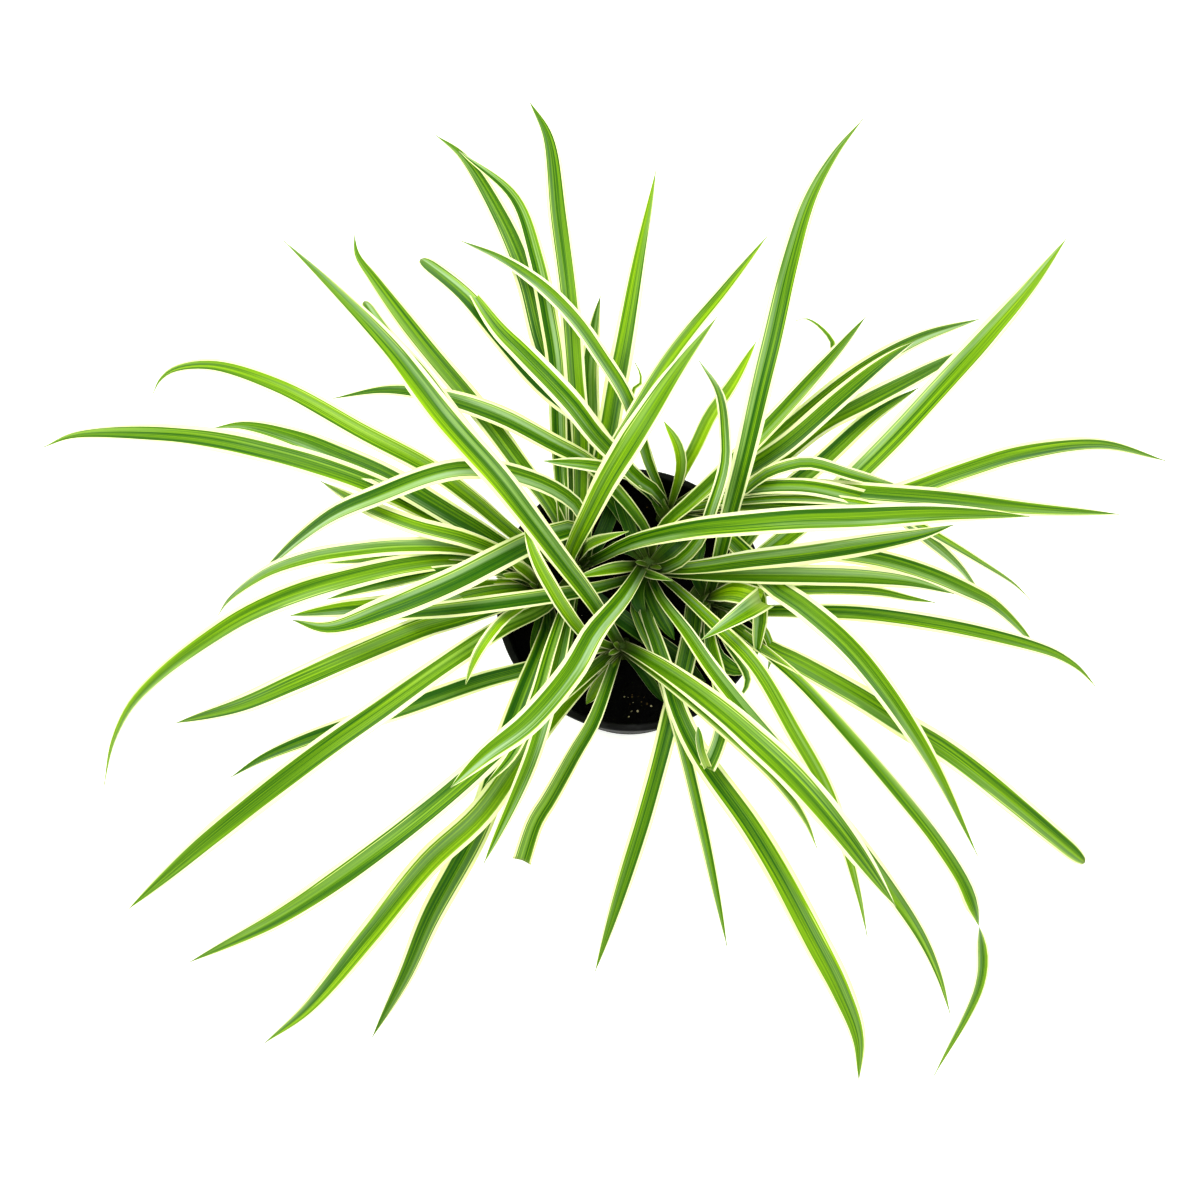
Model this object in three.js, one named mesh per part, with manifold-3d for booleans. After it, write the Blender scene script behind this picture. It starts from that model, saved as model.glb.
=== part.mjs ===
// A potted spider plant: six plantlets of arching, cream-edged blades stand in dark
// soil in a black nursery pot. Millimetres, +Z up. The origin is the middle of the
// pot's flat base, and +Y is the side away from a person who looks at the plant.

import * as THREE from 'three';
import { mergeVertices } from 'three/addons/utils/BufferGeometryUtils.js';
import Module from 'manifold-3d';

const wasm = await Module();
wasm.setup();

// ---------------------------------------------------------------- driving dimensions

const POT_HEIGHT = 105;
const RIM_RADIUS = 60;
const BASE_RADIUS = 41;
const BASE_CURVE = 2; // the rounding of the edge between the wall and the base
const WALL = 1.6;
const COLLAR_HEIGHT = 8; // the upright band under the rim
const COLLAR_STEP = 2.2; // how far that band stands out from the tapered wall
const RIM_LIP = 3.4; // width of the rounded rim, seen from above
const DRAIN_HOLES = 8;
const DRAIN_HOLE_RADIUS = 3.5;
const DRAIN_HOLE_SIDES = 12;
const DRAIN_CIRCLE_RADIUS = 33;
const POT_SIDES = 40;

const SOIL_LEVEL = 93;
const SOIL_CRUMB = 0.8; // height of the crumbs and hollows of the soil's surface
const SOIL_SHOULDER = 6; // the soil's side is upright from this far below its level
const SOIL_RINGS = 6;
const GAP = 0.3; // between two pieces that rest against each other

const CROWN_SIDES = 12;
const CROWN_DEPTH = 11; // how deep a crown stands in its hole in the soil
const CROWN_RISE = 9; // how high its sheath of leaf bases stands above the soil
const CROWN_ROUND = 1.8; // the rounding of its edges
const ROOT_HEIGHT = SOIL_LEVEL + 2.5; // where the blades begin, inside the sheath

const STEP_LENGTH = 16; // about one ring of a blade for each such length
const TIP_CROWDING = 1.2; // how much closer the rings stand towards the tip
const BLADE_STEPS = [6, 14]; // the fewest and the most steps in a blade
const THINNEST = 1; // width of a blade where it is narrowest
const BLADE_THICKNESS = 1.3; // along the midrib
const GUTTER = 0.13; // how far the edges rise above the midrib, as a part of the width
const ROOT_WIDTH = 0.4; // a blade's width at its root, as a part of its full width
const FULL_FROM = 0.5; // it reaches its full width at this part of its length
const NARROW_FROM = 0.55; // from this part on it narrows
const FADE_CURVE = 2.8; // the higher, the later it narrows to its tip
const CUT_POINT = 1.2; // where a cut blade's tip would have been

// A person looks down on the pot from here, a little to the front. The courses of the
// blades below are written as that person sees them, as places in the plane of the rim.
const EYE = new THREE.Vector3(-13.9, -291.2, 1269.4);

// ---------------------------------------------------------------- plantlets

// A blade is its width, the height of the top of its arch, the height of its tip, and
// its course from root to tip. A cut blade ends bluntly. A folded blade is cut at its
// fold and goes on as a second one, with a root height, a root width and a taper of its own.
const blade = (width, top, tip, course, extra = {}) => ({ width, top, tip, course, ...extra });

const PLANTLETS = {
  plantlet_middle: {
    crown: [8, 15],
    radius: 9,
    blades: [
      blade(11.5, 172, 156, [
        [6, 16], [-3, 1], [-16.5, -16], [-26, -33], [-45, -56], [-64, -71], [-79, -85],
      ]),
      blade(9.5, 160, 136, [
        [10, 13], [25, 13.5], [50, 17], [75, 20], [104, 24.5], [130, 29.5], [144, 33.7],
      ]),
      blade(9, 144, 112, [[11, 12], [25, 11], [50, 10.7], [75, 10.5], [105, 9.5], [126, 7], [143, 2]]),
      blade(6.5, 130, 130, [
        [3, 14.5], [-6, 13.8], [-14, 12.2], [-25.5, 9.2],
      ], { rootWidth: 0.7, narrowFrom: 0.2, fadeCurve: 1.6 }),
      blade(4.5, 122, 122, [
        [4, 12.5], [9, 10.5], [18.5, 8],
      ], { rootWidth: 0.7, narrowFrom: 0.2, fadeCurve: 1.6 }),
      blade(8, 138, 120, [[4, 10], [-20, 3.5], [-45, -0.5], [-70, -4], [-97, -7], [-117, -10]]),
      blade(5.5, 166, 136, [
        [10, 13], [20, 16], [30, 26], [37, 44], [42, 62], [42.3, 76], [40, 95], [31, 111],
      ], { rootWidth: 1 }),
      blade(8, 132, 60, [
        [10, 12], [18, 6], [35, -10], [54, -30], [71, -60], [86, -89], [97.5, -131], [101, -150],
      ], { narrowFrom: 0.5, fadeCurve: 2 }),
      blade(9, 146, 66, [
        [8, 11], [13, 0], [24, -15], [36, -33], [60, -64], [97, -110], [123, -148], [131, -166],
        [135.6, -183],
      ]),
      blade(5.8, 115.5, 76, [
        [6, 12], [1, -4], [4.5, -14.5], [10.5, -26], [14.5, -39], [20.5, -59], [30, -100],
        [38, -140], [40.6, -154],
      ]),
      blade(12.5, 122, 52, [
        [7, 12], [6, -5], [11, -20], [16, -36], [20, -50], [26, -64], [33, -76], [50.5, -101],
        [63, -122], [77, -149], [89, -173], [96, -193], [96, -211],
      ], { rootWidth: 0.3, fullFrom: 0.7, narrowFrom: 0.7 }),
      blade(10, 134, 96, [
        [9, 17], [8, 28], [1, 40], [-8, 51], [-19, 62.5], [-35, 71.5], [-58, 84], [-85.5, 93.5],
        [-109.5, 97], [-134.4, 93],
      ], { rootWidth: 0.3, fullFrom: 0.7, narrowFrom: 0.5, fadeCurve: 2.2 }),
      blade(8.3, 144, 112, [
        [9, 18], [13, 31], [28, 45.5], [39, 56], [60, 77.5], [84, 104.5], [94, 116], [107, 132],
      ]),
      blade(9, 109, 105, [
        [8, 17], [4, 27], [-2, 37], [-9, 47], [-20, 58], [-29, 64],
      ], { narrowFrom: 0.5 }),
      blade(6.5, 108, 104, [[7, 17], [3, 24], [0, 30], [-3, 39], [-5.5, 47], [-8, 55]]),
      blade(8.5, 105, 102, [[9, 15], [15, 20.5], [21, 26], [27, 31]]),
      blade(7, 107, 106, [[8, 12], [8, 4], [11, -4], [15, -12], [19, -19]], { rootWidth: 0.7 }),
      blade(6.5, 106, 104, [[7, 13], [3, 5], [3, -2], [6, -8]], { rootWidth: 0.7 }),
      blade(6, 101, 98, [[6, 17], [0, 22], [-7, 23.5], [-12, 22]], { rootWidth: 0.7 }),
    ],
  },
  plantlet_front: {
    crown: [-5, -23],
    radius: 8,
    blades: [
      blade(12, 190, 124, [
        [-5, -22], [-16.5, -3], [-30.6, 16.5], [-48, 40], [-61, 57], [-83, 82.5], [-109, 117],
        [-140.6, 151], [-159, 169],
      ], { narrowFrom: 0.5, fadeCurve: 1.8 }),
      blade(8, 166, 118, [
        [-6, -21], [-18, 1], [-33, 21], [-49, 42], [-64, 63], [-80, 84], [-95, 105], [-109, 121],
        [-121.5, 139.5],
      ], { cut: true }),
      blade(12.5, 182, 128, [
        [-4, -22], [2, -25], [13, -31.5], [28, -42], [41, -52.6], [50, -60.6], [72, -82],
        [91, -105], [113.6, -137],
      ]),
      blade(8.4, 128, 112, [
        [-6, -25], [-9, -34], [-17, -56], [-25, -70], [-36, -90], [-42, -100], [-47.5, -117],
      ], { cut: true, rootWidth: 0.5, fullFrom: 1, narrowFrom: 1 }),
      blade(6.5, 106, 102, [[-5, -25], [-12, -36], [-20, -48]]),
      blade(11.8, 146, 70, [
        [-7, -24], [-24, -38], [-42, -53], [-58, -68], [-74, -83], [-105, -109], [-149, -140],
        [-190, -161],
      ]),
      blade(12, 132, 58, [
        [-6, -24], [-20, -37], [-35, -54], [-48.5, -72], [-66, -97], [-88, -118], [-113, -149.5],
        [-138.5, -180.5], [-157, -195.5],
      ]),
      blade(9, 110, 62, [
        [-7, -23], [-25, -25], [-45, -32], [-68, -38.5], [-100, -50], [-125, -58], [-145, -65],
        [-162, -72.5], [-175, -80.6],
      ]),
      blade(3.6, 128, 128, [[-8, -23], [-24, -26], [-38, -33.5]]),
      blade(6.5, 165, 165, [[-6, -23], [-20, -17], [-30, -4.5], [-37, 7.5], [-42.3, 18], [-48, 34]]),
      blade(5.5, 150, 96, [[-4, -24], [20, -42], [45, -64], [64, -83], [75.5, -100], [80, -111.5]]),
      blade(5, 104, 98, [[-3, -25], [3, -31], [10, -41], [14, -47]], { rootWidth: 0.6 }),
    ],
  },
  plantlet_right: {
    crown: [34, -1],
    radius: 8,
    blades: [
      blade(11, 182, 122, [
        [34, 0], [38, 14], [44, 39], [51, 66], [59, 100], [64, 120], [73.5, 160], [83, 190],
        [95, 212], [108, 229],
      ], { narrowFrom: 0.5, fadeCurve: 2.2 }),
      blade(11.8, 140, 84, [
        [36, 1], [55, 17], [75, 33], [98, 54], [117, 73], [140.6, 99], [163, 124], [181, 145],
        [200, 170],
      ]),
      blade(8.6, 128, 100, [[36, 3], [50, 25], [69, 49], [84.5, 62], [109, 84.5], [130, 98]]),
      blade(8, 122, 58, [
        [35, -2], [48, -5.5], [70, -6], [99, -6.8], [118, -9], [149, -14.6], [177.5, -22],
        [188, -26], [197, -32], [204, -40],
      ]),
      blade(5, 118, 96, [[35, 0], [48, 2], [62, 3], [89, 4], [111, 2.6], [123, 0], [134.5, -2]]),
      blade(12, 118, 56, [
        [36, -4], [46, -14], [61, -23.5], [74, -30], [99, -44.5], [118, -57], [136, -68],
        [160, -87], [196, -118],
      ], { cut: true }),
      blade(7.5, 122, 22, [
        [36, -5], [50, -17], [62, -27], [75, -39], [101, -69], [118, -90], [133, -110],
        [144.5, -130], [150, -150], [149, -170], [128, -209],
      ]),
      blade(8.8, 112, 48, [
        [32, 4], [28.5, -1], [26.8, -14], [23, -32], [18, -50], [13, -70], [4.7, -100], [-8, -140],
        [-16, -165],
      ], { rootWidth: 0.9, fullFrom: 0.2 }),
      blade(10, 130, 127, [
        [34, 0], [45, 2.5], [57.5, -1],
      ], { cut: true, rootWidth: 0.25, narrowFrom: 1 }),
      blade(11, 138, 134, [
        [57.5, -1.5], [46, -9], [30.7, -19],
      ], { root: 128, rootWidth: 1, narrowFrom: 0, fadeCurve: 1.3 }),
      blade(7, 118, 106, [[35, 2], [46, 9], [54.5, 5], [57, -6], [56, -16], [55, -27]]),
      blade(4, 114, 98, [[36, -2], [50, -7], [58, -14], [61.5, -24], [60, -33]]),
      blade(4, 112, 106, [[35, -4], [42, -20], [50, -33], [51, -38], [47, -46]]),
      blade(7, 134, 133, [
        [34, -3], [34.5, -18], [37.5, -33], [40, -48], [39.5, -59], [36.5, -69], [33, -76.5],
      ], { cut: true, narrowFrom: 1 }),
      blade(3.5, 136, 135, [[33, -76], [30.5, -69], [29, -58]], { root: 133, rootWidth: 1 }),
      blade(8.5, 122, 48, [
        [36, 2], [46, 11], [58, 18], [75, 21.5], [107, 18.5], [131, 11.5], [149, 3.5], [160, -2.5],
        [171, -13], [180, -25],
      ]),
      blade(8, 112, 109, [
        [36, -5], [34, -16], [36.5, -26], [43, -31.5], [51, -34],
      ], { rootWidth: 0.7 }),
      blade(6, 108, 104, [[34, 0], [30, 8], [29, 17], [33, 27]], { rootWidth: 0.7 }),
    ],
  },
  plantlet_back: {
    crown: [16, 38],
    radius: 7.5,
    blades: [
      blade(10, 172, 118, [
        [16, 40], [11, 49], [2.8, 55], [-7, 66], [-16, 76], [-27, 91], [-49, 115], [-59.5, 126],
        [-77, 150.5],
      ]),
      blade(10.5, 152, 104, [
        [15, 40], [9, 48], [-3, 60], [-22, 84], [-40, 99.5], [-58, 121], [-75, 142], [-96, 160],
      ], { cut: true }),
      blade(7, 154, 106, [
        [16, 41], [13, 50], [8, 62], [3, 80], [-3, 96], [-12.6, 112], [-25, 130.5], [-40.6, 147],
        [-58, 159.5], [-78, 169],
      ]),
      blade(2.6, 128, 128, [[16, 42], [8, 68], [2, 88], [0.5, 97], [4, 99], [4.5, 104], [2, 110]]),
      blade(6.5, 138, 128, [[17, 41], [23, 58], [29, 70], [36, 85], [46, 100], [57, 120]]),
      blade(5, 140, 140, [[17, 41], [20.5, 52], [22.5, 62], [21, 71], [15, 82]]),
      blade(4, 126, 100, [
        [18, 40], [39, 56], [60, 77], [83, 104], [92, 117], [88, 125], [80, 131], [75, 130],
      ]),
      blade(9, 130, 62, [[18, 41], [35, 52], [52, 64], [70, 78], [100, 103], [130, 121], [159, 131]]),
      blade(7.5, 152, 30, [
        [19, 40], [38, 45], [52, 50], [76, 51.6], [98, 47.5], [114.5, 42], [130, 29], [146, 14],
        [158, -4],
      ]),
      blade(4.5, 150, 52, [
        [19, 40], [45, 44], [70, 46], [100, 44], [120, 38], [134, 30], [153, 18], [170, 6.4],
        [177, -1],
      ]),
      blade(6, 156, 118, [
        [18, 40], [38, 44], [51, 50], [60, 57], [70, 61], [80, 62.5], [99, 57], [121, 50],
        [131, 45],
      ]),
      blade(8.8, 148, 92, [
        [19, 40], [42, 44], [60, 50], [80, 51], [100, 49], [140.5, 45.7], [176, 41.4], [218, 38.6],
      ]),
      blade(9.7, 146, 62, [
        [19, 39], [50, 43], [80, 42], [105, 44], [120, 48], [147, 58], [176, 67], [211.6, 71],
        [240, 63.6],
      ]),
      blade(11, 142, 66, [
        [18, 37], [36, 33], [50, 21], [63, 5.5], [75, -3], [95, -21], [110, -40], [123, -60],
        [134, -80], [149.6, -115],
      ], { narrowFrom: 0.45, fadeCurve: 1.8 }),
      blade(6, 144, 136, [[15, 40], [3, 55], [-13, 60.5], [-39, 63.5]]),
      blade(9, 140, 108, [
        [18, 39], [32, 47], [45, 54.5], [58, 63], [70, 71.5], [94, 93], [118, 113], [128.6, 120],
      ]),
      blade(9.8, 132, 84, [
        [19, 38], [34, 43], [50, 51], [66, 64], [84, 79], [106, 91], [130, 104], [157, 118.6],
      ]),
      blade(6, 106, 104, [[16, 37], [13, 42], [10, 49]], { rootWidth: 0.8 }),
    ],
  },
  plantlet_left: {
    crown: [-41, 4],
    radius: 6.5,
    blades: [
      blade(10.8, 138, 84, [
        [-41, 6], [-52, 17], [-70, 28.5], [-90, 39.5], [-120, 54], [-160, 67], [-200, 75],
        [-250, 75.5], [-264, 70],
      ]),
      blade(11.5, 136, 96, [
        [-41, 6], [-48, 17], [-62, 27], [-80, 38], [-110, 56], [-130, 65], [-150, 73.6],
        [-174.5, 80], [-188, 79],
      ]),
      blade(11.8, 124, 60, [
        [-40, 2], [-36, -8], [-39.5, -22], [-45.5, -38], [-55, -65], [-66, -101], [-87, -142],
        [-97, -166], [-111, -193],
      ]),
      blade(12, 126, 62, [
        [-43, 4], [-57, -3], [-77, -9.5], [-91.5, -13.5], [-121, -26], [-147.6, -38], [-170, -48],
        [-200, -56.5],
      ]),
      blade(11, 142, 28, [
        [-43, 6], [-60, 14.5], [-80, 17], [-100, 15], [-124, 9.5], [-146, 3], [-169, -7],
        [-189, -20], [-206.5, -34], [-220, -49], [-227, -65], [-230, -84],
      ], { narrowFrom: 0.4, fadeCurve: 1.8 }),
      blade(8, 138, 52, [
        [-42, 7], [-58, 18], [-75, 23], [-100, 24], [-123, 22], [-145, 18], [-163, 11],
        [-178.5, -1], [-183, -8],
      ]),
      blade(8, 142, 104, [
        [-41, 7], [-54, 18.5], [-73, 27], [-97, 33.5], [-118, 42], [-129, 48], [-139, 54],
      ]),
      blade(5.5, 128, 104, [[-43, 6], [-62, 17], [-83, 20], [-109.5, 18.5], [-136.5, 16]]),
      blade(9, 122, 100, [[-43, 4], [-65, 5], [-90, 0], [-111, -3.5], [-128.5, -5], [-151, -8]]),
      blade(6, 132, 108, [[-43, 5], [-60, 12], [-83, 12], [-109.5, 6.5], [-135, -0.5]]),
      blade(6, 118, 104, [[-43, 5], [-56, 4], [-76, 0], [-94, -6]]),
      blade(5, 138, 118, [[-41, 2], [-47, -3], [-57, -10], [-66, -22], [-70, -30], [-73, -39]]),
      blade(3.4, 114, 114, [[-42, 5], [-50, 10], [-60, 9.5]]),
      blade(3, 110, 110, [[-42, 5], [-52, 8], [-64, 7]]),
      blade(5.5, 120, 120, [[-41, 6], [-47, 12.5], [-54, 17]]),
      blade(7, 106, 103, [[-41, 2], [-39, -8], [-41, -17], [-43.5, -27]], { rootWidth: 0.7 }),
    ],
  },
  plantlet_centre: {
    crown: [-25, 13],
    radius: 8,
    blades: [
      blade(9.3, 142, 84, [
        [-28, 14], [-40, 21], [-53, 30], [-69, 44], [-90, 60], [-120, 76.5], [-160, 99],
        [-190, 108.6], [-207, 106.5], [-213, 101.5], [-216, 95],
      ]),
      blade(9.8, 126, 90, [
        [-26, 15], [-30, 30], [-37, 44], [-50, 62], [-66, 84], [-95, 120], [-117, 150], [-125, 162],
        [-126.6, 172],
      ]),
      blade(9.5, 138, 112, [
        [-25, 15], [-23, 40], [-22.5, 60], [-23, 80], [-25, 100], [-28, 140], [-33, 180],
        [-38, 220], [-46.6, 237.7],
      ], { narrowFrom: 0.7 }),
      blade(11, 130, 92, [
        [-26, 15], [-26, 45], [-27.5, 75], [-32, 100], [-39.5, 118], [-47.5, 150], [-59.5, 180],
        [-77.5, 210.5], [-90, 221],
      ]),
      blade(8.8, 134, 108, [
        [-27, 15], [-30, 33], [-31, 50], [-32.5, 75], [-34, 110], [-37, 130], [-43, 160],
        [-53.4, 190], [-79, 213],
      ]),
      blade(10.8, 132, 112, [
        [-24, 15], [-19, 36], [-14, 58], [-10, 78], [-6.4, 100], [-2.7, 120], [4, 160], [9.6, 190],
        [12, 204],
      ], { narrowFrom: 0.45, fadeCurve: 1.9 }),
      blade(12, 196, 150, [
        [-29, 11], [-26.3, 21.3], [-18.3, 39], [-10, 55.5], [4.6, 80], [20.7, 106], [39.4, 132],
      ], { narrowFrom: 0.45, fadeCurve: 1.7 }),
      blade(6.8, 152, 118, [
        [-25, 17], [-17, 45], [-8, 68], [3, 88], [15, 108.5], [28, 126.5], [43.5, 146], [62.7, 171],
      ]),
      blade(8.8, 120, 104, [
        [-23, 16], [-20, 45], [-19, 65], [-18.5, 85], [-18.5, 109], [-16, 130], [-13.7, 142],
      ]),
      blade(11, 184, 140, [
        [-22, 14], [-13, 18.5], [0, 25], [25, 31.2], [50, 34], [75, 36], [100, 36.8], [140, 38.8],
        [178, 37.6],
      ], { narrowFrom: 0.5 }),
      blade(7.3, 148, 130, [[-25, 8], [-29, -13], [-35, -41], [-43, -70], [-51, -90], [-64, -118]]),
      blade(6, 148, 140, [[-26, 8], [-31, -8], [-36, -24], [-42, -45], [-52, -70], [-64, -84]]),
      blade(11.5, 134, 60, [
        [-27, 9], [-38, -4], [-58, -14], [-80, -28.5], [-110, -50.5], [-140, -72.6], [-180, -105],
        [-217, -138],
      ], { narrowFrom: 0.65 }),
      blade(6.5, 136, 136, [
        [-24, 17], [-18.5, 24.5], [-10, 28], [-1, 30.8],
      ], { rootWidth: 0.7, narrowFrom: 0.2, fadeCurve: 1.5 }),
      blade(9.3, 162, 52, [
        [-24, 15], [-20, 30], [-24, 42], [-34, 50], [-48, 56], [-62, 59.3], [-78, 59.5], [-92, 56],
        [-113, 47.5], [-132, 39], [-148, 27], [-161, 14.6], [-167, 8.6],
      ]),
      blade(12, 152, 128, [
        [-24, 15], [-19, 22], [-19.5, 28], [-26, 31.5], [-36, 29], [-46, 25], [-60, 17.5], [-80, 7],
        [-108, -5], [-134, -13.6], [-150, -10],
      ]),
      blade(8.5, 103.5, 97.5, [
        [-23, 9], [-14, -2], [-5, -9], [8, -18.5], [21.5, -28], [32.6, -37.9],
      ], { rootWidth: 0.6 }),
      blade(6, 116, 108, [[-25, 9], [-27, -6], [-29, -20], [-33, -36], [-37, -48]], { rootWidth: 0.7 }),
      blade(7, 105, 100, [[-23, 15], [-17, 22], [-12, 31], [-8, 42], [-6, 50]], { rootWidth: 0.6 }),
    ],
  },
};

// ---------------------------------------------------------------- joining and cutting

function toSolid(geometry) {
  const bare = geometry.clone();
  bare.deleteAttribute('normal');
  bare.deleteAttribute('uv');
  const merged = mergeVertices(bare, 1e-4);
  return new wasm.Manifold(new wasm.Mesh({
    numProp: 3,
    vertProperties: new Float32Array(merged.attributes.position.array),
    triVerts: new Uint32Array(merged.index.array),
  }));
}

function toGeometry(solid) {
  const mesh = solid.getMesh();
  const geometry = new THREE.BufferGeometry();
  geometry.setAttribute('position', new THREE.BufferAttribute(mesh.vertProperties, 3));
  geometry.setIndex(new THREE.BufferAttribute(mesh.triVerts, 1));
  geometry.computeVertexNormals();
  return geometry;
}

// A solid of revolution about +Z, from a profile of [radius, height] points.
function turned(profile, sides) {
  const outline = profile.map(([radius, height]) => new THREE.Vector2(radius, height));
  const geometry = new THREE.LatheGeometry(outline, sides);
  geometry.rotateX(Math.PI / 2);
  return geometry;
}

function cylinder(radius, bottom, top, x, y, sides) {
  const geometry = new THREE.CylinderGeometry(radius, radius, top - bottom, sides);
  geometry.rotateX(Math.PI / 2);
  geometry.translate(x, y, (top + bottom) / 2);
  return geometry;
}

// ---------------------------------------------------------------- sight lines

// The place at a height that is seen where a place in the plane of the rim is.
function fromSight([x, y], height) {
  const seen = new THREE.Vector3(x, y, POT_HEIGHT);
  const along = (EYE.z - height) / (EYE.z - POT_HEIGHT);
  return EYE.clone().lerp(seen, along);
}

// ---------------------------------------------------------------- pot

const wallSlope = (RIM_RADIUS - COLLAR_STEP - BASE_RADIUS) / (POT_HEIGHT - COLLAR_HEIGHT);
const outerRadius = (height) => BASE_RADIUS + wallSlope * height;
const innerRadius = (height) => outerRadius(height) - WALL;

function potGeometry() {
  const collarFoot = POT_HEIGHT - COLLAR_HEIGHT;
  const lipInner = RIM_RADIUS - RIM_LIP;
  const lipTurn = RIM_LIP / 4;
  const collarInner = RIM_RADIUS - COLLAR_STEP - 1.4 * WALL;
  const profile = [
    [0, 0],
    [BASE_RADIUS - BASE_CURVE, 0],
    [outerRadius(BASE_CURVE), BASE_CURVE],
    [outerRadius(collarFoot - WALL), collarFoot - WALL],
    [RIM_RADIUS - 1.5 * lipTurn, collarFoot],
    [RIM_RADIUS - lipTurn / 2, POT_HEIGHT - 2.5 * lipTurn],
    [RIM_RADIUS, POT_HEIGHT - 1.5 * lipTurn],
    [RIM_RADIUS - lipTurn, POT_HEIGHT],
    [lipInner + lipTurn, POT_HEIGHT],
    [lipInner, POT_HEIGHT - 1.5 * lipTurn],
    [collarInner, collarFoot + WALL],
    [innerRadius(collarFoot - 2 * COLLAR_STEP), collarFoot - 2 * COLLAR_STEP],
    [innerRadius(2 * WALL), 2 * WALL],
    [innerRadius(2 * WALL) - BASE_CURVE, WALL],
    [0, WALL],
  ];
  let pot = toSolid(turned(profile, POT_SIDES));
  for (let hole = 0; hole < DRAIN_HOLES; hole += 1) {
    const angle = (2 * Math.PI * hole) / DRAIN_HOLES;
    const x = DRAIN_CIRCLE_RADIUS * Math.cos(angle);
    const y = DRAIN_CIRCLE_RADIUS * Math.sin(angle);
    pot = pot.subtract(toSolid(cylinder(DRAIN_HOLE_RADIUS, -WALL, 2 * WALL, x, y, DRAIN_HOLE_SIDES)));
  }
  return toGeometry(pot);
}

// ---------------------------------------------------------------- soil

function soilHeight(x, y) {
  const crumbs = Math.sin(0.31 * x + 1.7) * Math.cos(0.27 * y) + 0.6 * Math.sin(0.61 * y - 0.43 * x);
  return SOIL_LEVEL + SOIL_CRUMB * 0.6 * crumbs;
}

function crownPlace(plantlet) {
  return fromSight(plantlet.crown, SOIL_LEVEL);
}

function soilGeometry() {
  const floor = WALL + GAP;
  const footTop = floor + BASE_CURVE;
  const top = innerRadius(SOIL_LEVEL - SOIL_SHOULDER) - 2 * GAP;
  const profile = [
    [0, floor],
    [innerRadius(2 * WALL) - BASE_CURVE - 2 * GAP, floor],
    [innerRadius(footTop) - 2 * GAP, footTop],
    [top, SOIL_LEVEL - SOIL_SHOULDER],
    [top, SOIL_LEVEL],
  ];
  for (let ring = SOIL_RINGS - 1; ring >= 0; ring -= 1) {
    profile.push([(top * ring) / SOIL_RINGS, SOIL_LEVEL]);
  }
  const geometry = turned(profile, POT_SIDES);
  const places = geometry.attributes.position;
  for (let i = 0; i < places.count; i += 1) {
    if (places.getZ(i) > SOIL_LEVEL - GAP) {
      places.setZ(i, soilHeight(places.getX(i), places.getY(i)));
    }
  }
  let soil = toSolid(geometry);
  for (const plantlet of Object.values(PLANTLETS)) {
    const place = crownPlace(plantlet);
    const bottom = SOIL_LEVEL - CROWN_DEPTH - GAP;
    const hole = cylinder(
      plantlet.radius + GAP, bottom, SOIL_LEVEL + SOIL_SHOULDER, place.x, place.y, 2 * CROWN_SIDES,
    );
    soil = soil.subtract(toSolid(hole));
  }
  return toGeometry(soil);
}

// ---------------------------------------------------------------- blades

// The arch is a parabola from the root to the tip that just reaches the top height.
function archHeight({ top, tip, root = ROOT_HEIGHT }, along) {
  const rise = top - root;
  const end = tip - root;
  const climb = 2 * rise + 2 * Math.sqrt(rise * (rise - end));
  return root + climb * along - (climb - end) * along * along;
}

// The width grows from the narrow base, and fades to a fine point or to a cut end.
function bladeWidth(leaf, along) {
  const { width, rootWidth = ROOT_WIDTH, fullFrom = FULL_FROM } = leaf;
  const { narrowFrom = NARROW_FROM, fadeCurve = FADE_CURVE } = leaf;
  const swell = Math.sin((Math.PI / 2) * Math.min(along / fullFrom, 1));
  const fade = Math.max(along - narrowFrom, 0) / ((leaf.cut ? CUT_POINT : 1) - narrowFrom);
  return width * (rootWidth + (1 - rootWidth) * swell) * (1 - fade ** fadeCurve);
}

// The spine of a blade is a list of steps, each a place and how far along it lies.
function bladeSpine(leaf) {
  const marks = leaf.course.map(([x, y]) => new THREE.Vector3(x, y, 0));
  const course = new THREE.CatmullRomCurve3(marks, false, 'centripetal');
  const steps = THREE.MathUtils.clamp(Math.round(course.getLength() / STEP_LENGTH) + 3, ...BLADE_STEPS);
  const spine = [];
  for (let step = 0; step <= steps; step += 1) {
    const along = 1 - (1 - step / steps) ** TIP_CROWDING;
    const mark = course.getPointAt(along);
    spine.push({ along, place: fromSight([mark.x, mark.y], archHeight(leaf, along)) });
  }
  return spine;
}

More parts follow.
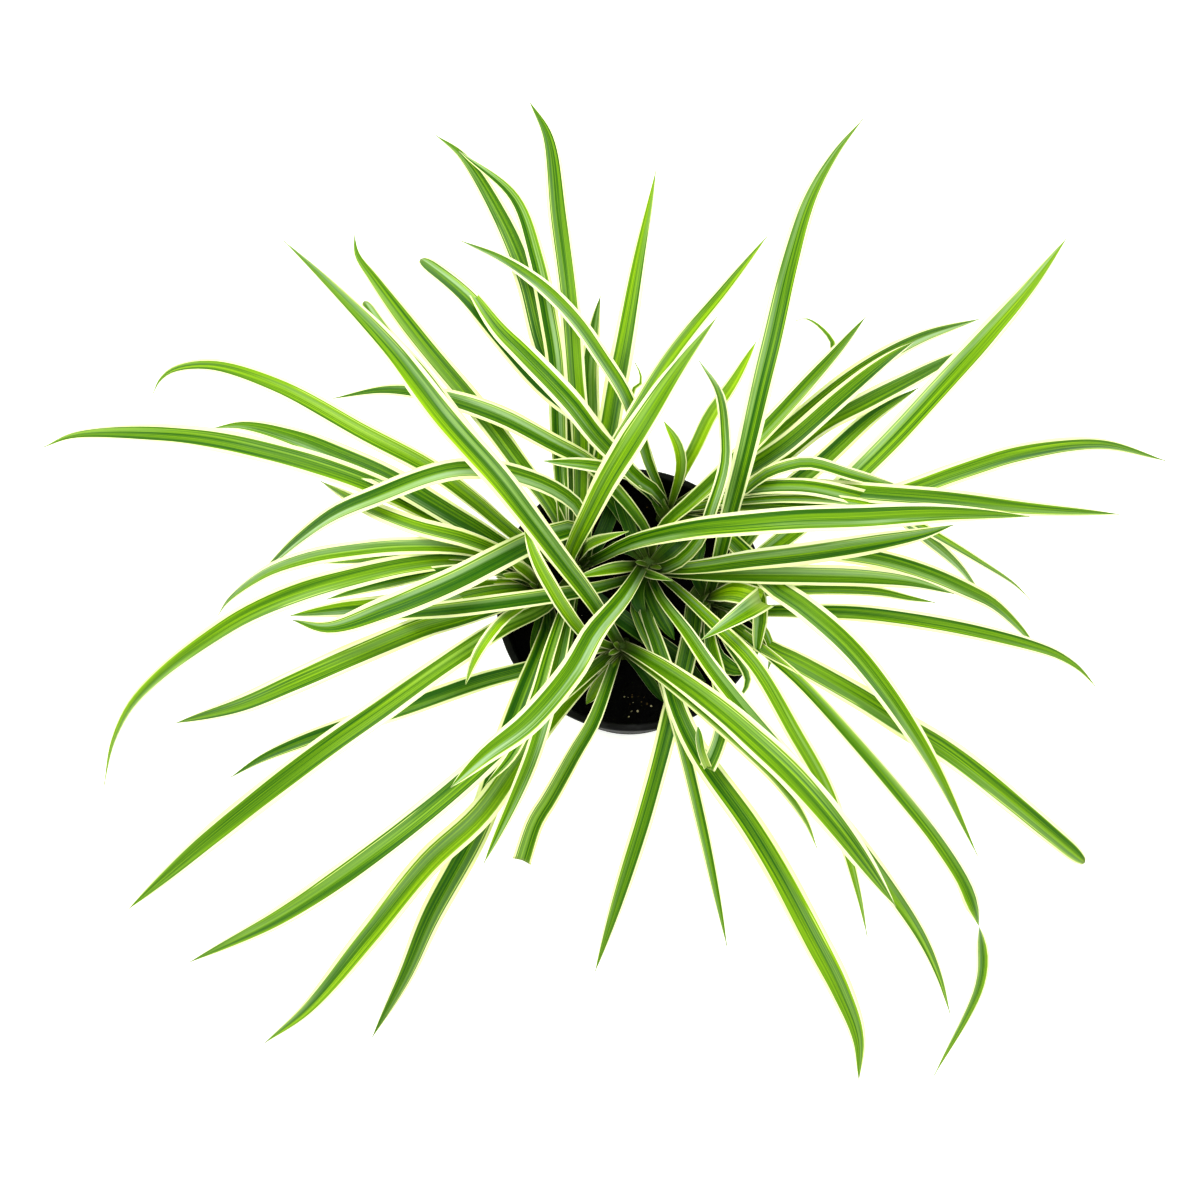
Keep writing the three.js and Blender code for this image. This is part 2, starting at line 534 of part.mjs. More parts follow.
// Each ring is the midrib groove, the right edge, the keel under it and the left edge.
function bladeGeometry(leaf) {
  const spine = bladeSpine(leaf);
  const tipStep = spine.length - 1;
  const last = leaf.cut ? tipStep : tipStep - 1;
  const between = (from, to) => (
    spine[Math.min(to, tipStep)].place.clone().sub(spine[Math.max(from, 0)].place)
  );
  const places = [];
  for (let step = 0; step <= last; step += 1) {
    const { along, place } = spine[step];
    const tangent = between(step - 1, step + 1).normalize();
    const heading = between(step - 2, step + 2);
    const side = new THREE.Vector3(-heading.y, heading.x, 0).normalize();
    side.addScaledVector(tangent, -side.dot(tangent)).normalize();
    const up = tangent.clone().cross(side);
    const half = Math.max(bladeWidth(leaf, along), THINNEST) / 2;
    const depth = BLADE_THICKNESS * Math.min(1, half / 2);
    const edge = place.clone().addScaledVector(up, 2 * half * GUTTER);
    places.push(place.clone());
    places.push(edge.clone().addScaledVector(side, -half));
    places.push(place.clone().addScaledVector(up, -depth));
    places.push(edge.clone().addScaledVector(side, half));
  }
  const faces = [[0, 3, 2], [0, 2, 1]];
  for (let step = 0; step < last; step += 1) {
    for (let corner = 0; corner < 4; corner += 1) {
      const a = 4 * step + corner;
      const b = 4 * step + ((corner + 1) % 4);
      const c = b + 4;
      const d = a + 4;
      // Both faces of the blade are split the same way, from its middle to its edge.
      if (corner % 2 === 0) faces.push([a, b, c], [a, c, d]);
      else faces.push([a, b, d], [b, c, d]);
    }
  }
  const end = 4 * last;
  if (leaf.cut) {
    faces.push([end, end + 1, end + 2], [end, end + 2, end + 3]);
  } else {
    const tip = places.length;
    places.push(spine[tipStep].place);
    for (let corner = 0; corner < 4; corner += 1) {
      faces.push([end + corner, end + ((corner + 1) % 4), tip]);
    }
  }
  const geometry = new THREE.BufferGeometry();
  geometry.setAttribute('position', new THREE.Float32BufferAttribute(places.flatMap((p) => p.toArray()), 3));
  geometry.setIndex(faces.flat());
  return geometry;
}

// ---------------------------------------------------------------- crowns

function crownGeometry(plantlet) {
  const { radius } = plantlet;
  const profile = [
    [0, SOIL_LEVEL - CROWN_DEPTH],
    [radius - CROWN_ROUND, SOIL_LEVEL - CROWN_DEPTH],
    [radius, SOIL_LEVEL - CROWN_DEPTH + CROWN_ROUND],
    [radius, SOIL_LEVEL + CROWN_ROUND],
    [radius * 0.82, SOIL_LEVEL + 0.55 * CROWN_RISE],
    [radius * 0.4, SOIL_LEVEL + 0.9 * CROWN_RISE],
    [0, SOIL_LEVEL + CROWN_RISE],
  ];
  const geometry = turned(profile, CROWN_SIDES);
  const place = crownPlace(plantlet);
  geometry.translate(place.x, place.y, 0);
  return geometry;
}

function plantletGeometry(plantlet) {
  let body = toSolid(crownGeometry(plantlet));
  for (const leaf of plantlet.blades) {
    body = body.add(toSolid(bladeGeometry(leaf)));
  }
  return toGeometry(body);
}

// ---------------------------------------------------------------- assembly

const potPlastic = new THREE.MeshStandardMaterial({ color: 0x141414, roughness: 0.45, metalness: 0 });
const soilMatter = new THREE.MeshStandardMaterial({ color: 0x17110c, roughness: 0.95, metalness: 0 });
const leafGreen = { color: 0x5f9e16, roughness: 0.4, metalness: 0 };

function named(name, geometry, material) {
  const mesh = new THREE.Mesh(geometry, material);
  mesh.name = name;
  return mesh;
}

const group = new THREE.Group();
group.add(named('pot', potGeometry(), potPlastic));
group.add(named('soil', soilGeometry(), soilMatter));
for (const [name, plantlet] of Object.entries(PLANTLETS)) {
  group.add(named(name, plantletGeometry(plantlet), new THREE.MeshStandardMaterial(leafGreen)));
}

export default group;
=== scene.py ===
# %% [markdown]
# # A potted spider plant
#
# This lesson dresses a spider plant for a render. Six small plants share one black nursery
# pot. Each has a crown from which long blades arch outwards: green in the middle, with cream
# edges, fine stripes along their length, and a groove down the midrib.
#
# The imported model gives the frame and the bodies. Everything here is in metres in that frame:
# the origin is the middle of the pot's base, +Z is up, and +Y is away from the viewer.

import math
import random

import bmesh
import bpy
import numpy as np
from mathutils import Matrix, Vector, noise


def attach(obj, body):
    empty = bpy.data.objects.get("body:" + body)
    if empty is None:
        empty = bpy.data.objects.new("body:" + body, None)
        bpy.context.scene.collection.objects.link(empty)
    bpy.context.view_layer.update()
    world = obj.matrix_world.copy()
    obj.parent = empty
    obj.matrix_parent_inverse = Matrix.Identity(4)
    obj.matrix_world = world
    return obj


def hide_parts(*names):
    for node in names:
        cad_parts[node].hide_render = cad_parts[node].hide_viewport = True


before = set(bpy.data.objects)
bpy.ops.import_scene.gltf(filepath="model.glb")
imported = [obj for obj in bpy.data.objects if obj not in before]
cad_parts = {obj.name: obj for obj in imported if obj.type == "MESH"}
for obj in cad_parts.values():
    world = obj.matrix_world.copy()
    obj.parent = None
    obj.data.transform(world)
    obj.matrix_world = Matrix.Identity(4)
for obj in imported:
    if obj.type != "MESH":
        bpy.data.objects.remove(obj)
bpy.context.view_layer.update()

# %% [markdown]
# ## The camera comes first
#
# The photograph looks steeply down on the plant, 76 degrees above the horizon, from about
# 1.2 m. The eye is also needed to place the blades, because their courses are written as the
# viewer sees them. A lens of 81 mm on a 36 mm sensor frames the blades as the photograph does.

# %% The camera
MM = 0.001
LOOK_DOWN = math.radians(76)
EYE = Vector((-13.9, -291.2, 1269.4)) * MM
LENS = 81.24  # focal length in millimetres
SENSOR_WIDTH = 36


def add_object(name, data):
    """Puts a mesh, a camera or a lamp into the scene."""
    made = bpy.data.objects.new(name, data)
    bpy.context.scene.collection.objects.link(made)
    return made


camera_data = bpy.data.cameras.new("camera")
camera_data.lens = LENS
camera_data.sensor_width = SENSOR_WIDTH
camera = add_object("camera", camera_data)
camera.location = EYE
camera.rotation_euler = (math.radians(90) - LOOK_DOWN, 0, 0)
bpy.context.scene.camera = camera
print("camera at", [round(value, 3) for value in EYE])

# %% [markdown]
# ## Sizes that the pieces share
#
# The pot is a common nursery pot, 105 mm high. The soil lies 12 mm below its rim, and each
# crown stands in the soil. These values, and those of the pot further on, repeat the solids'
# own, so that the dressed pieces lie where the solids are.

# %% Shared sizes
POT_HEIGHT = 105 * MM
SOIL_LEVEL = 93 * MM
print("the soil lies", round(SOIL_LEVEL, 4), "m above the floor")


def from_sight(x, y, height):
    """The place at a height that the viewer sees at x, y in the plane of the rim."""
    seen = Vector((x, y, POT_HEIGHT))
    return EYE.lerp(seen, (EYE.z - height) / (EYE.z - POT_HEIGHT))


def mesh_object(name, bm):
    """Turns a bmesh into an object of the scene."""
    mesh = bpy.data.meshes.new(name)
    bm.to_mesh(mesh)
    bm.free()
    return add_object(name, mesh)


def new_piece(name, bm, material, cad_node):
    """Turns a bmesh into a finished piece that stands for one node of the solid model."""
    piece = mesh_object(name, bm)
    piece.data.materials.append(material)
    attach(piece, "root")
    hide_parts(cad_node)
    print(name, "has", len(piece.data.polygons), "faces")
    return piece


# %% [markdown]
# ## Writing shader maths as expressions
#
# Node trees are easier to read as sums and products. This small class wraps one socket, and
# each operator adds the Math node that it needs. The function `node` adds any other node.

# %% A small language for materials
class Wire:
    """One output socket of a material's node tree."""

    def __init__(self, tree, socket):
        self.tree = tree
        self.socket = socket

    def math(self, operation, *values):
        return node(self.tree, "ShaderNodeMath", {"operation": operation}, dict(enumerate(values)))

    def __add__(self, other):
        return self.math("ADD", self, other)

    __radd__ = __add__

    def __sub__(self, other):
        return self.math("SUBTRACT", self, other)

    def __rsub__(self, other):
        return self.math("SUBTRACT", other, self)

    def __mul__(self, other):
        return self.math("MULTIPLY", self, other)

    __rmul__ = __mul__

    def __abs__(self):
        return self.math("ABSOLUTE", self)

    def step(self, low, high):
        """Goes smoothly from 0 to 1 as the value goes from low to high."""
        sockets = {"Value": self, "From Min": low, "From Max": high}
        return node(self.tree, "ShaderNodeMapRange", {"interpolation_type": "SMOOTHSTEP"}, sockets)


def node(tree, kind, settings, sockets, output=0):
    """Adds a node: its settings first, then the values and links of its sockets."""
    made = tree.nodes.new(kind)
    for name, value in settings.items():
        setattr(made, name, value)
    for name, value in sockets.items():
        socket = made.inputs[name]
        if isinstance(value, Wire):
            tree.links.new(value.socket, socket)
        else:
            socket.default_value = value
    return Wire(tree, made.outputs[output])


def mix(tree, factor, first, second):
    """Blends two colours."""
    settings = {"data_type": "RGBA", "clamp_factor": True}
    return node(tree, "ShaderNodeMix", settings, {0: factor, 6: first, 7: second}, output=2)


def speckle(tree, place, scale, detail=2.0):
    """Cloudy noise from 0 to 1."""
    return node(tree, "ShaderNodeTexNoise", {}, {"Vector": place, "Scale": scale, "Detail": detail})


def object_place(tree):
    """The place of each point in the shared frame, in metres."""
    return node(tree, "ShaderNodeTexCoord", {}, {}, output=3)


def height_of(tree, place):
    return node(tree, "ShaderNodeSeparateXYZ", {}, {"Vector": place}, output=2)


def bump(tree, strength, distance, height):
    """Turns a pattern into relief, whose distance is in metres."""
    sockets = {"Strength": strength, "Distance": distance, "Height": height}
    return node(tree, "ShaderNodeBump", {}, sockets)


def combine(tree, x, y, z):
    return node(tree, "ShaderNodeCombineXYZ", {}, {"X": x, "Y": y, "Z": z})


def attribute(tree, name):
    return node(tree, "ShaderNodeAttribute", {"attribute_name": name}, {}, output=2)


def new_material(name):
    material = bpy.data.materials.new(name)
    material.use_nodes = True
    return material, material.node_tree, material.node_tree.nodes["Principled BSDF"]


def connect(tree, shader, **inputs):
    for name, wire in inputs.items():
        tree.links.new(wire.socket, shader.inputs[name.replace("_", " ")])


def rgb(red, green, blue):
    """A colour as a painter reads it on a screen, from 0 to 255, made linear."""
    return tuple((value / 255) ** 2.2 for value in (red, green, blue)) + (1.0,)


# %% [markdown]
# ## What a blade looks like
#
# Seen close, a blade is a bundle of fine parallel stripes. The middle is green, from deep to
# yellowish, and on the half that faces the light a silvery sheen is painted into the colour: a
# painted reflection. The edges are cream, and where cream meets green the border wanders a
# little. So the material follows the blade, not the room: every point of a blade carries how far
# across it lies (-1 to 1), how far along it lies in metres, and a few numbers that are the same
# all over one blade.

# %% The material of the blades
leaf_material, leaf_tree, leaf_shader = new_material("leaf")
across = attribute(leaf_tree, "across")
run = attribute(leaf_tree, "run")
along = attribute(leaf_tree, "along")
tone = attribute(leaf_tree, "tone")
painted_sheen = attribute(leaf_tree, "painted_sheen")
margin = attribute(leaf_tree, "margin")
seed = attribute(leaf_tree, "seed")
off_middle = abs(across)
# side also picks the half of the blade on which the sheen is painted
side = seed.step(0.49, 0.51) * 2.0 - 1.0  # which half of the blade faces the light


def streaks(across_scale, run_scale, shift, detail):
    """Noise drawn out along the blade, from 0 to 1, different on every blade."""
    place = combine(leaf_tree, across * across_scale, run * run_scale, seed * 50.0 + shift)
    return speckle(leaf_tree, place, 1.0, detail)


bands = streaks(1.8, 4.0, 0.0, 1.0)
stripes = streaks(7.0, 6.0, 100.0, 3.0)
fine_stripes = streaks(26.0, 12.0, 200.0, 2.0)
patches = streaks(0.5, 14.0, 300.0, 2.0)
print("the leaf material starts with", len(leaf_tree.nodes), "nodes")

# %% [markdown]
# The green is mixed from three: a deep one in the grooves, a fresh one between them, and a
# yellowish one where the blade is young or thin. A painted sheen, a reflection of the light
# painted into the colour, lies in a long soft band on the half that faces the light.

# %% The greens and the painted sheen
DEEP_GREEN = rgb(42, 94, 0)
FRESH_GREEN = rgb(126, 170, 0)
YOUNG_GREEN = rgb(174, 212, 30)
# the colour of the painted sheen, a reflection of the light laid into the blade's colour
PAINTED_SHEEN_GREEN = rgb(158, 190, 136)
BAND_PUSH = 1.4  # how strongly each noise moves a place from deep to fresh green
STRIPE_PUSH = 1.3
FINE_PUSH = 2.0
YOUNG_SHARE = 0.9
PAINTED_SHEEN_PLACE = 0.36  # how far from the midrib the sheen lies

fresh_share = tone + (bands - 0.5) * BAND_PUSH + (stripes - 0.5) * STRIPE_PUSH
fresh_share = fresh_share + (fine_stripes - 0.5) * FINE_PUSH
green = mix(leaf_tree, fresh_share.step(0.0, 1.0), DEEP_GREEN, FRESH_GREEN)
green = mix(leaf_tree, fresh_share.step(0.7, 1.4) * YOUNG_SHARE, green, YOUNG_GREEN)
# painted reflection: a silvery band of light, laid into the base colour on one half of the blade
painted_sheen_band = 1.0 - abs(across * side - PAINTED_SHEEN_PLACE + (bands - 0.5)).step(0.08, 0.42)
painted_sheen_share = painted_sheen * painted_sheen_band * (patches + stripes * 0.5).step(0.5, 0.85)
green = mix(leaf_tree, painted_sheen_share, green, PAINTED_SHEEN_GREEN)
print("with its greens it has", len(leaf_tree.nodes), "nodes")

# %% [markdown]
# The cream starts about seven tenths of the way from the midrib to the edge. Noise that is
# long and thin pushes it in and out. Just inside it, on one half, many blades have one more
# pale line, which comes and goes. Near the root the cream is thinner. The very root is pale,
# and the last millimetres of the tip are dry.

# %% The cream edges, the pale line, the root and the tip
CREAM = rgb(240, 246, 166)
WHITE_EDGE = rgb(248, 251, 206)
PALE_LINE = rgb(206, 228, 120)
PALE_ROOT = rgb(196, 216, 110)
DRY_TIP = rgb(122, 132, 72)
LINE_WIDTH = 0.04
LINE_PLACE = 0.13  # how far inside the cream the pale line runs
ROOT_THINNING = 0.14  # how much further out the cream starts near the root
TIP_THINNING = 0.05  # and near the tip
WANDER = 0.2  # how far the long patches push it in and out
FRAYING = 0.12  # and how far the stripes do

near_root = 1.0 - run.step(0.03, 0.09)
border = margin + (patches - 0.5) * WANDER + (stripes - 0.5) * FRAYING
border = border + along.step(0.8, 1.0) * TIP_THINNING + near_root * ROOT_THINNING
cream_share = (off_middle - border).step(-0.015, 0.035)
line_gap = abs(across * side - border + LINE_PLACE)
line_share = (1.0 - line_gap.step(LINE_WIDTH * 0.4, LINE_WIDTH)) * patches.step(0.47, 0.55)
cream = mix(leaf_tree, fine_stripes.step(0.35, 0.65), CREAM, WHITE_EDGE)
colour = mix(leaf_tree, line_share * 0.8, green, PALE_LINE)
colour = mix(leaf_tree, cream_share, colour, cream)
colour = mix(leaf_tree, (1.0 - run.step(0.0, 0.012)) * 0.45, colour, PALE_ROOT)
colour = mix(leaf_tree, along.step(0.985, 1.0) * 0.6, colour, DRY_TIP)
print("with its cream edges it has", len(leaf_tree.nodes), "nodes")

# %% [markdown]
# Little light reaches the leaves deep in the plant, so shade is painted into their colour as a
# much darker green. How deep a point lies is read from its place: near the pot's middle, and low.

# %% The painted shade inside
DEEP_SHADE = rgb(10, 44, 0)
SHADE_SHARE = 0.72
SHADE_REACH = (35 * MM, 65 * MM)  # it fades out between these distances from the pot's axis
SHADE_HEIGHT = (98 * MM, 122 * MM)  # and between these heights

leaf_place = object_place(leaf_tree)
off_axis = node(leaf_tree, "ShaderNodeVectorMath", {"operation": "LENGTH"}, {
    0: node(leaf_tree, "ShaderNodeVectorMath", {"operation": "MULTIPLY"}, {
        0: leaf_place, 1: (1, 1, 0),
    }),
}, output=1)
inside = 1.0 - off_axis.step(*SHADE_REACH)
low = 1.0 - height_of(leaf_tree, leaf_place).step(*SHADE_HEIGHT)
# painted shade: the deep, low leaves are darkened towards DEEP_SHADE, where little light falls
colour = mix(leaf_tree, inside * low * SHADE_SHARE, colour, DEEP_SHADE)
print("with its deep green it has", len(leaf_tree.nodes), "nodes")

# %% [markdown]
# A blade is waxy, but its stripes scatter the shine, so the stripes also drive the roughness
# and a faint bump.

# %% Shine and relief of the blades
LEAF_GLOSS = 0.22
LEAF_RELIEF = 0.0005  # metres

ripples = stripes * 0.6 + fine_stripes * 0.4
bumps = bump(leaf_tree, 0.4, LEAF_RELIEF, ripples)
roughness = 0.36 + fine_stripes * 0.2
connect(leaf_tree, leaf_shader, Base_Color=colour, Roughness=roughness, Normal=bumps)
leaf_shader.inputs["Specular IOR Level"].default_value = LEAF_GLOSS
print("leaf material has", len(leaf_tree.nodes), "nodes")

# %% [markdown]
# ## The courses of the blades
#
# Each blade is written as its width, the height of the top of its arch, the height of its
# tip, and its course from root to tip, all in millimetres. The courses are the same as those
# of the solids. Three more numbers give its look: `tone` is how fresh its green is, a second
# how strong the sheen of light painted into its colour is, and `margin` where its cream starts.
# The rest shape its outline, as the step after the plantlets explains. The short blades deep
# inside are nearly all green.

# %% How a blade is written
PLANTLETS = {}


def blade(width, top, tip, course, tone=0.45, painted_sheen=0.2, margin=0.69, **extra):
    """One blade, in millimetres: see the text above."""
    look = {"tone": tone, "painted_sheen": painted_sheen, "margin": margin}
    return {"width": width, "top": top, "tip": tip, "course": course, "look": look, **extra}


def inner(width, top, tip, course, tone=0.2, margin=0.84, **extra):
    """A blade deep inside the plant, with hardly any cream, whose low tone paints its shade as a
    darker green.
    """
    return blade(width, top, tip, course, tone, 0, margin, **extra)


def add_plantlet(name, crown, radius, blades):
    """Keeps the place and the radius of a crown, and the blades that grow from it."""
    PLANTLETS[name] = {"crown": crown, "radius": radius, "blades": blades}
    print(name, "has", len(blades), "blades")


# %% [markdown]
# The middle plantlet stands almost at the centre of the pot. Its widest blade sweeps to the
# front left over the others, and its short inner blades fill the dark between the crowns.

# %% The middle plantlet
add_plantlet("middle", (8, 15), 9, [
    blade(11.5, 172, 156, [
        (6, 16), (-3, 1), (-16.5, -16), (-26, -33), (-45, -56), (-64, -71), (-79, -85),
    ], painted_sheen=1.0, tone=0.5, margin=0.73),
    blade(9.5, 160, 136, [
        (10, 13), (25, 13.5), (50, 17), (75, 20), (104, 24.5), (130, 29.5), (144, 33.7),
    ], painted_sheen=0.5, tone=0.45),
    blade(9, 144, 112, [
        (11, 12), (25, 11), (50, 10.7), (75, 10.5), (105, 9.5), (126, 7), (143, 2),
    ], painted_sheen=0.6, tone=0.4),
    blade(6.5, 130, 130, [
        (3, 14.5), (-6, 13.8), (-14, 12.2), (-25.5, 9.2),
    ], painted_sheen=0.5, tone=0.6, root_width=0.7, narrow_from=0.2, fade_curve=1.6),
    blade(4.5, 122, 122, [
        (4, 12.5), (9, 10.5), (18.5, 8),
    ], root_width=0.7, narrow_from=0.2, fade_curve=1.6),
    blade(8, 138, 120, [
        (4, 10), (-20, 3.5), (-45, -0.5), (-70, -4), (-97, -7), (-117, -10),
    ], painted_sheen=0.3, tone=0.4),
    blade(5.5, 166, 136, [
        (10, 13), (20, 16), (30, 26), (37, 44), (42, 62), (42.3, 76), (40, 95), (31, 111),
    ], painted_sheen=0.9, tone=0.4, root_width=1),
    blade(8, 132, 60, [
        (10, 12), (18, 6), (35, -10), (54, -30), (71, -60), (86, -89), (97.5, -131), (101, -150),
    ], painted_sheen=0.4, tone=0.5, narrow_from=0.5, fade_curve=2),
    blade(9, 146, 66, [
        (8, 11), (13, 0), (24, -15), (36, -33), (60, -64), (97, -110), (123, -148), (131, -166),
        (135.6, -183),
    ], painted_sheen=0.35, tone=0.45),
    blade(5.8, 115.5, 76, [
        (6, 12), (1, -4), (4.5, -14.5), (10.5, -26), (14.5, -39), (20.5, -59), (30, -100),
        (38, -140), (40.6, -154),
    ], painted_sheen=0.4),
    blade(12.5, 122, 52, [
        (7, 12), (6, -5), (11, -20), (16, -36), (20, -50), (26, -64), (33, -76), (50.5, -101),
        (63, -122), (77, -149), (89, -173), (96, -193), (96, -211),
    ], tone=0.35, root_width=0.3, full_from=0.7, narrow_from=0.7),
    blade(10, 134, 96, [
        (9, 17), (8, 28), (1, 40), (-8, 51), (-19, 62.5), (-35, 71.5), (-58, 84), (-85.5, 93.5),
        (-109.5, 97), (-134.4, 93),
    ], painted_sheen=0.8, tone=0.4, root_width=0.3, full_from=0.7, narrow_from=0.5, fade_curve=2.2),
    blade(8.3, 144, 112, [
        (9, 18), (13, 31), (28, 45.5), (39, 56), (60, 77.5), (84, 104.5), (94, 116), (107, 132),
    ], painted_sheen=0.4, tone=0.5),
    inner(9, 109, 105, [
        (8, 17), (4, 27), (-2, 37), (-9, 47), (-20, 58), (-29, 64),
    ], tone=0.25, narrow_from=0.5),
    inner(6.5, 108, 104, [(7, 17), (3, 24), (0, 30), (-3, 39), (-5.5, 47), (-8, 55)], tone=0.25),
    inner(8.5, 105, 102, [(9, 15), (15, 20.5), (21, 26), (27, 31)], tone=0.3, margin=0.8),
    inner(7, 107, 106, [
        (8, 12), (8, 4), (11, -4), (15, -12), (19, -19),
    ], margin=0.86, root_width=0.7),
    inner(6.5, 106, 104, [(7, 13), (3, 5), (3, -2), (6, -8)], margin=0.86, root_width=0.7),
    inner(6, 101, 98, [
        (6, 17), (0, 22), (-7, 23.5), (-12, 22),
    ], tone=0.1, margin=0.86, root_width=0.7),
])

# %% [markdown]
# The front plantlet carries the two widest arches: one to the back left, and one to the
# front right.

# %% The front plantlet
add_plantlet("front", (-5, -23), 8, [
    blade(12, 190, 124, [
        (-5, -22), (-16.5, -3), (-30.6, 16.5), (-48, 40), (-61, 57), (-83, 82.5), (-109, 117),
        (-140.6, 151), (-159, 169),
    ], painted_sheen=0.4, tone=0.4, margin=0.73, narrow_from=0.5, fade_curve=1.8),
    blade(8, 166, 118, [
        (-6, -21), (-18, 1), (-33, 21), (-49, 42), (-64, 63), (-80, 84), (-95, 105), (-109, 121),
        (-121.5, 139.5),
    ], painted_sheen=0.9, cut=True),
    blade(12.5, 182, 128, [
        (-4, -22), (2, -25), (13, -31.5), (28, -42), (41, -52.6), (50, -60.6), (72, -82),
        (91, -105), (113.6, -137),
    ], tone=0.5, margin=0.71),
    blade(8.4, 128, 112, [
        (-6, -25), (-9, -34), (-17, -56), (-25, -70), (-36, -90), (-42, -100), (-47.5, -117),
    ], cut=True, root_width=0.5, full_from=1, narrow_from=1),
    blade(6.5, 106, 102, [(-5, -25), (-12, -36), (-20, -48)], tone=0.8),
    blade(11.8, 146, 70, [
        (-7, -24), (-24, -38), (-42, -53), (-58, -68), (-74, -83), (-105, -109), (-149, -140),
        (-190, -161),
    ], tone=0.4),
    blade(12, 132, 58, [
        (-6, -24), (-20, -37), (-35, -54), (-48.5, -72), (-66, -97), (-88, -118), (-113, -149.5),
        (-138.5, -180.5), (-157, -195.5),
    ], tone=0.45, painted_sheen=0.3),
    blade(9, 110, 62, [
        (-7, -23), (-25, -25), (-45, -32), (-68, -38.5), (-100, -50), (-125, -58), (-145, -65),
        (-162, -72.5), (-175, -80.6),
    ], tone=0.3),
    blade(3.6, 128, 128, [(-8, -23), (-24, -26), (-38, -33.5)], tone=0.7, margin=0.5),
    blade(6.5, 165, 165, [
        (-6, -23), (-20, -17), (-30, -4.5), (-37, 7.5), (-42.3, 18), (-48, 34),
    ], tone=0.6),
    blade(5.5, 150, 96, [
        (-4, -24), (20, -42), (45, -64), (64, -83), (75.5, -100), (80, -111.5),
    ], tone=0.7, margin=0.55),
    inner(5, 104, 98, [(-3, -25), (3, -31), (10, -41), (14, -47)], root_width=0.6),
])

# %% [markdown]
# The right plantlet has a folded leaf and a leaf that curls like a U. Each is written as two
# blades that meet at the fold. One long blade turns its back up near its tip.

# %% The right plantlet
add_plantlet("right", (34, -1), 8, [
    blade(11, 182, 122, [
        (34, 0), (38, 14), (44, 39), (51, 66), (59, 100), (64, 120), (73.5, 160), (83, 190),
        (95, 212), (108, 229),
    ], painted_sheen=0.4, tone=0.5, narrow_from=0.5, fade_curve=2.2),
    blade(11.8, 140, 84, [
        (36, 1), (55, 17), (75, 33), (98, 54), (117, 73), (140.6, 99), (163, 124), (181, 145),
        (200, 170),
    ], tone=0.75, painted_sheen=0.7),
    blade(8.6, 128, 100, [(36, 3), (50, 25), (69, 49), (84.5, 62), (109, 84.5), (130, 98)]),
    blade(8, 122, 58, [
        (35, -2), (48, -5.5), (70, -6), (99, -6.8), (118, -9), (149, -14.6), (177.5, -22),
        (188, -26), (197, -32), (204, -40),
    ], tone=0.55),
    blade(5, 118, 96, [(35, 0), (48, 2), (62, 3), (89, 4), (111, 2.6), (123, 0), (134.5, -2)]),
    blade(12, 118, 56, [
        (36, -4), (46, -14), (61, -23.5), (74, -30), (99, -44.5), (118, -57), (136, -68),
        (160, -87), (196, -118),
    ], tone=0.5, cut=True),
    blade(7.5, 122, 22, [
        (36, -5), (50, -17), (62, -27), (75, -39), (101, -69), (118, -90), (133, -110),
        (144.5, -130), (150, -150), (149, -170), (128, -209),
    ], turns_at=0.715),
    blade(8.8, 112, 48, [
        (32, 4), (28.5, -1), (26.8, -14), (23, -32), (18, -50), (13, -70), (4.7, -100),
        (-8, -140), (-16, -165),
    ], root_width=0.9, full_from=0.2),
    blade(10, 130, 127, [
        (34, 0), (45, 2.5), (57.5, -1),
    ], tone=0.95, margin=0.73, cut=True, root_width=0.25, narrow_from=1),
    blade(11, 138, 134, [
        (57.5, -1.5), (46, -9), (30.7, -19),
    ], painted_sheen=1.0, tone=0.5, margin=0.67, root=128, root_width=1, narrow_from=0, fade_curve=1.3),
    blade(7, 118, 106, [(35, 2), (46, 9), (54.5, 5), (57, -6), (56, -16), (55, -27)], painted_sheen=0.9),
    blade(4, 114, 98, [(36, -2), (50, -7), (58, -14), (61.5, -24), (60, -33)], painted_sheen=0.9),
    blade(4, 112, 106, [
        (35, -4), (42, -20), (50, -33), (51, -38), (47, -46),
    ], painted_sheen=0.6, margin=0.55),
    blade(7, 134, 133, [
        (34, -3), (34.5, -18), (37.5, -33), (40, -48), (39.5, -59), (36.5, -69), (33, -76.5),
    ], painted_sheen=0.7, cut=True, narrow_from=1),
    blade(3.5, 136, 135, [
        (33, -76), (30.5, -69), (29, -58),
    ], painted_sheen=0.7, tone=0.3, root=133, root_width=1),
    blade(8.5, 122, 48, [
        (36, 2), (46, 11), (58, 18), (75, 21.5), (107, 18.5), (131, 11.5), (149, 3.5),
        (160, -2.5), (171, -13), (180, -25),
    ], painted_sheen=0.4),
    inner(8, 112, 109, [
        (36, -5), (34, -16), (36.5, -26), (43, -31.5), (51, -34),
    ], margin=0.82, root_width=0.7),
    inner(6, 108, 104, [(34, 0), (30, 8), (29, 17), (33, 27)], tone=0.15, root_width=0.7),
])

# %% [markdown]
# The back plantlet sends most of its blades to the right, and a few thin ones curl.

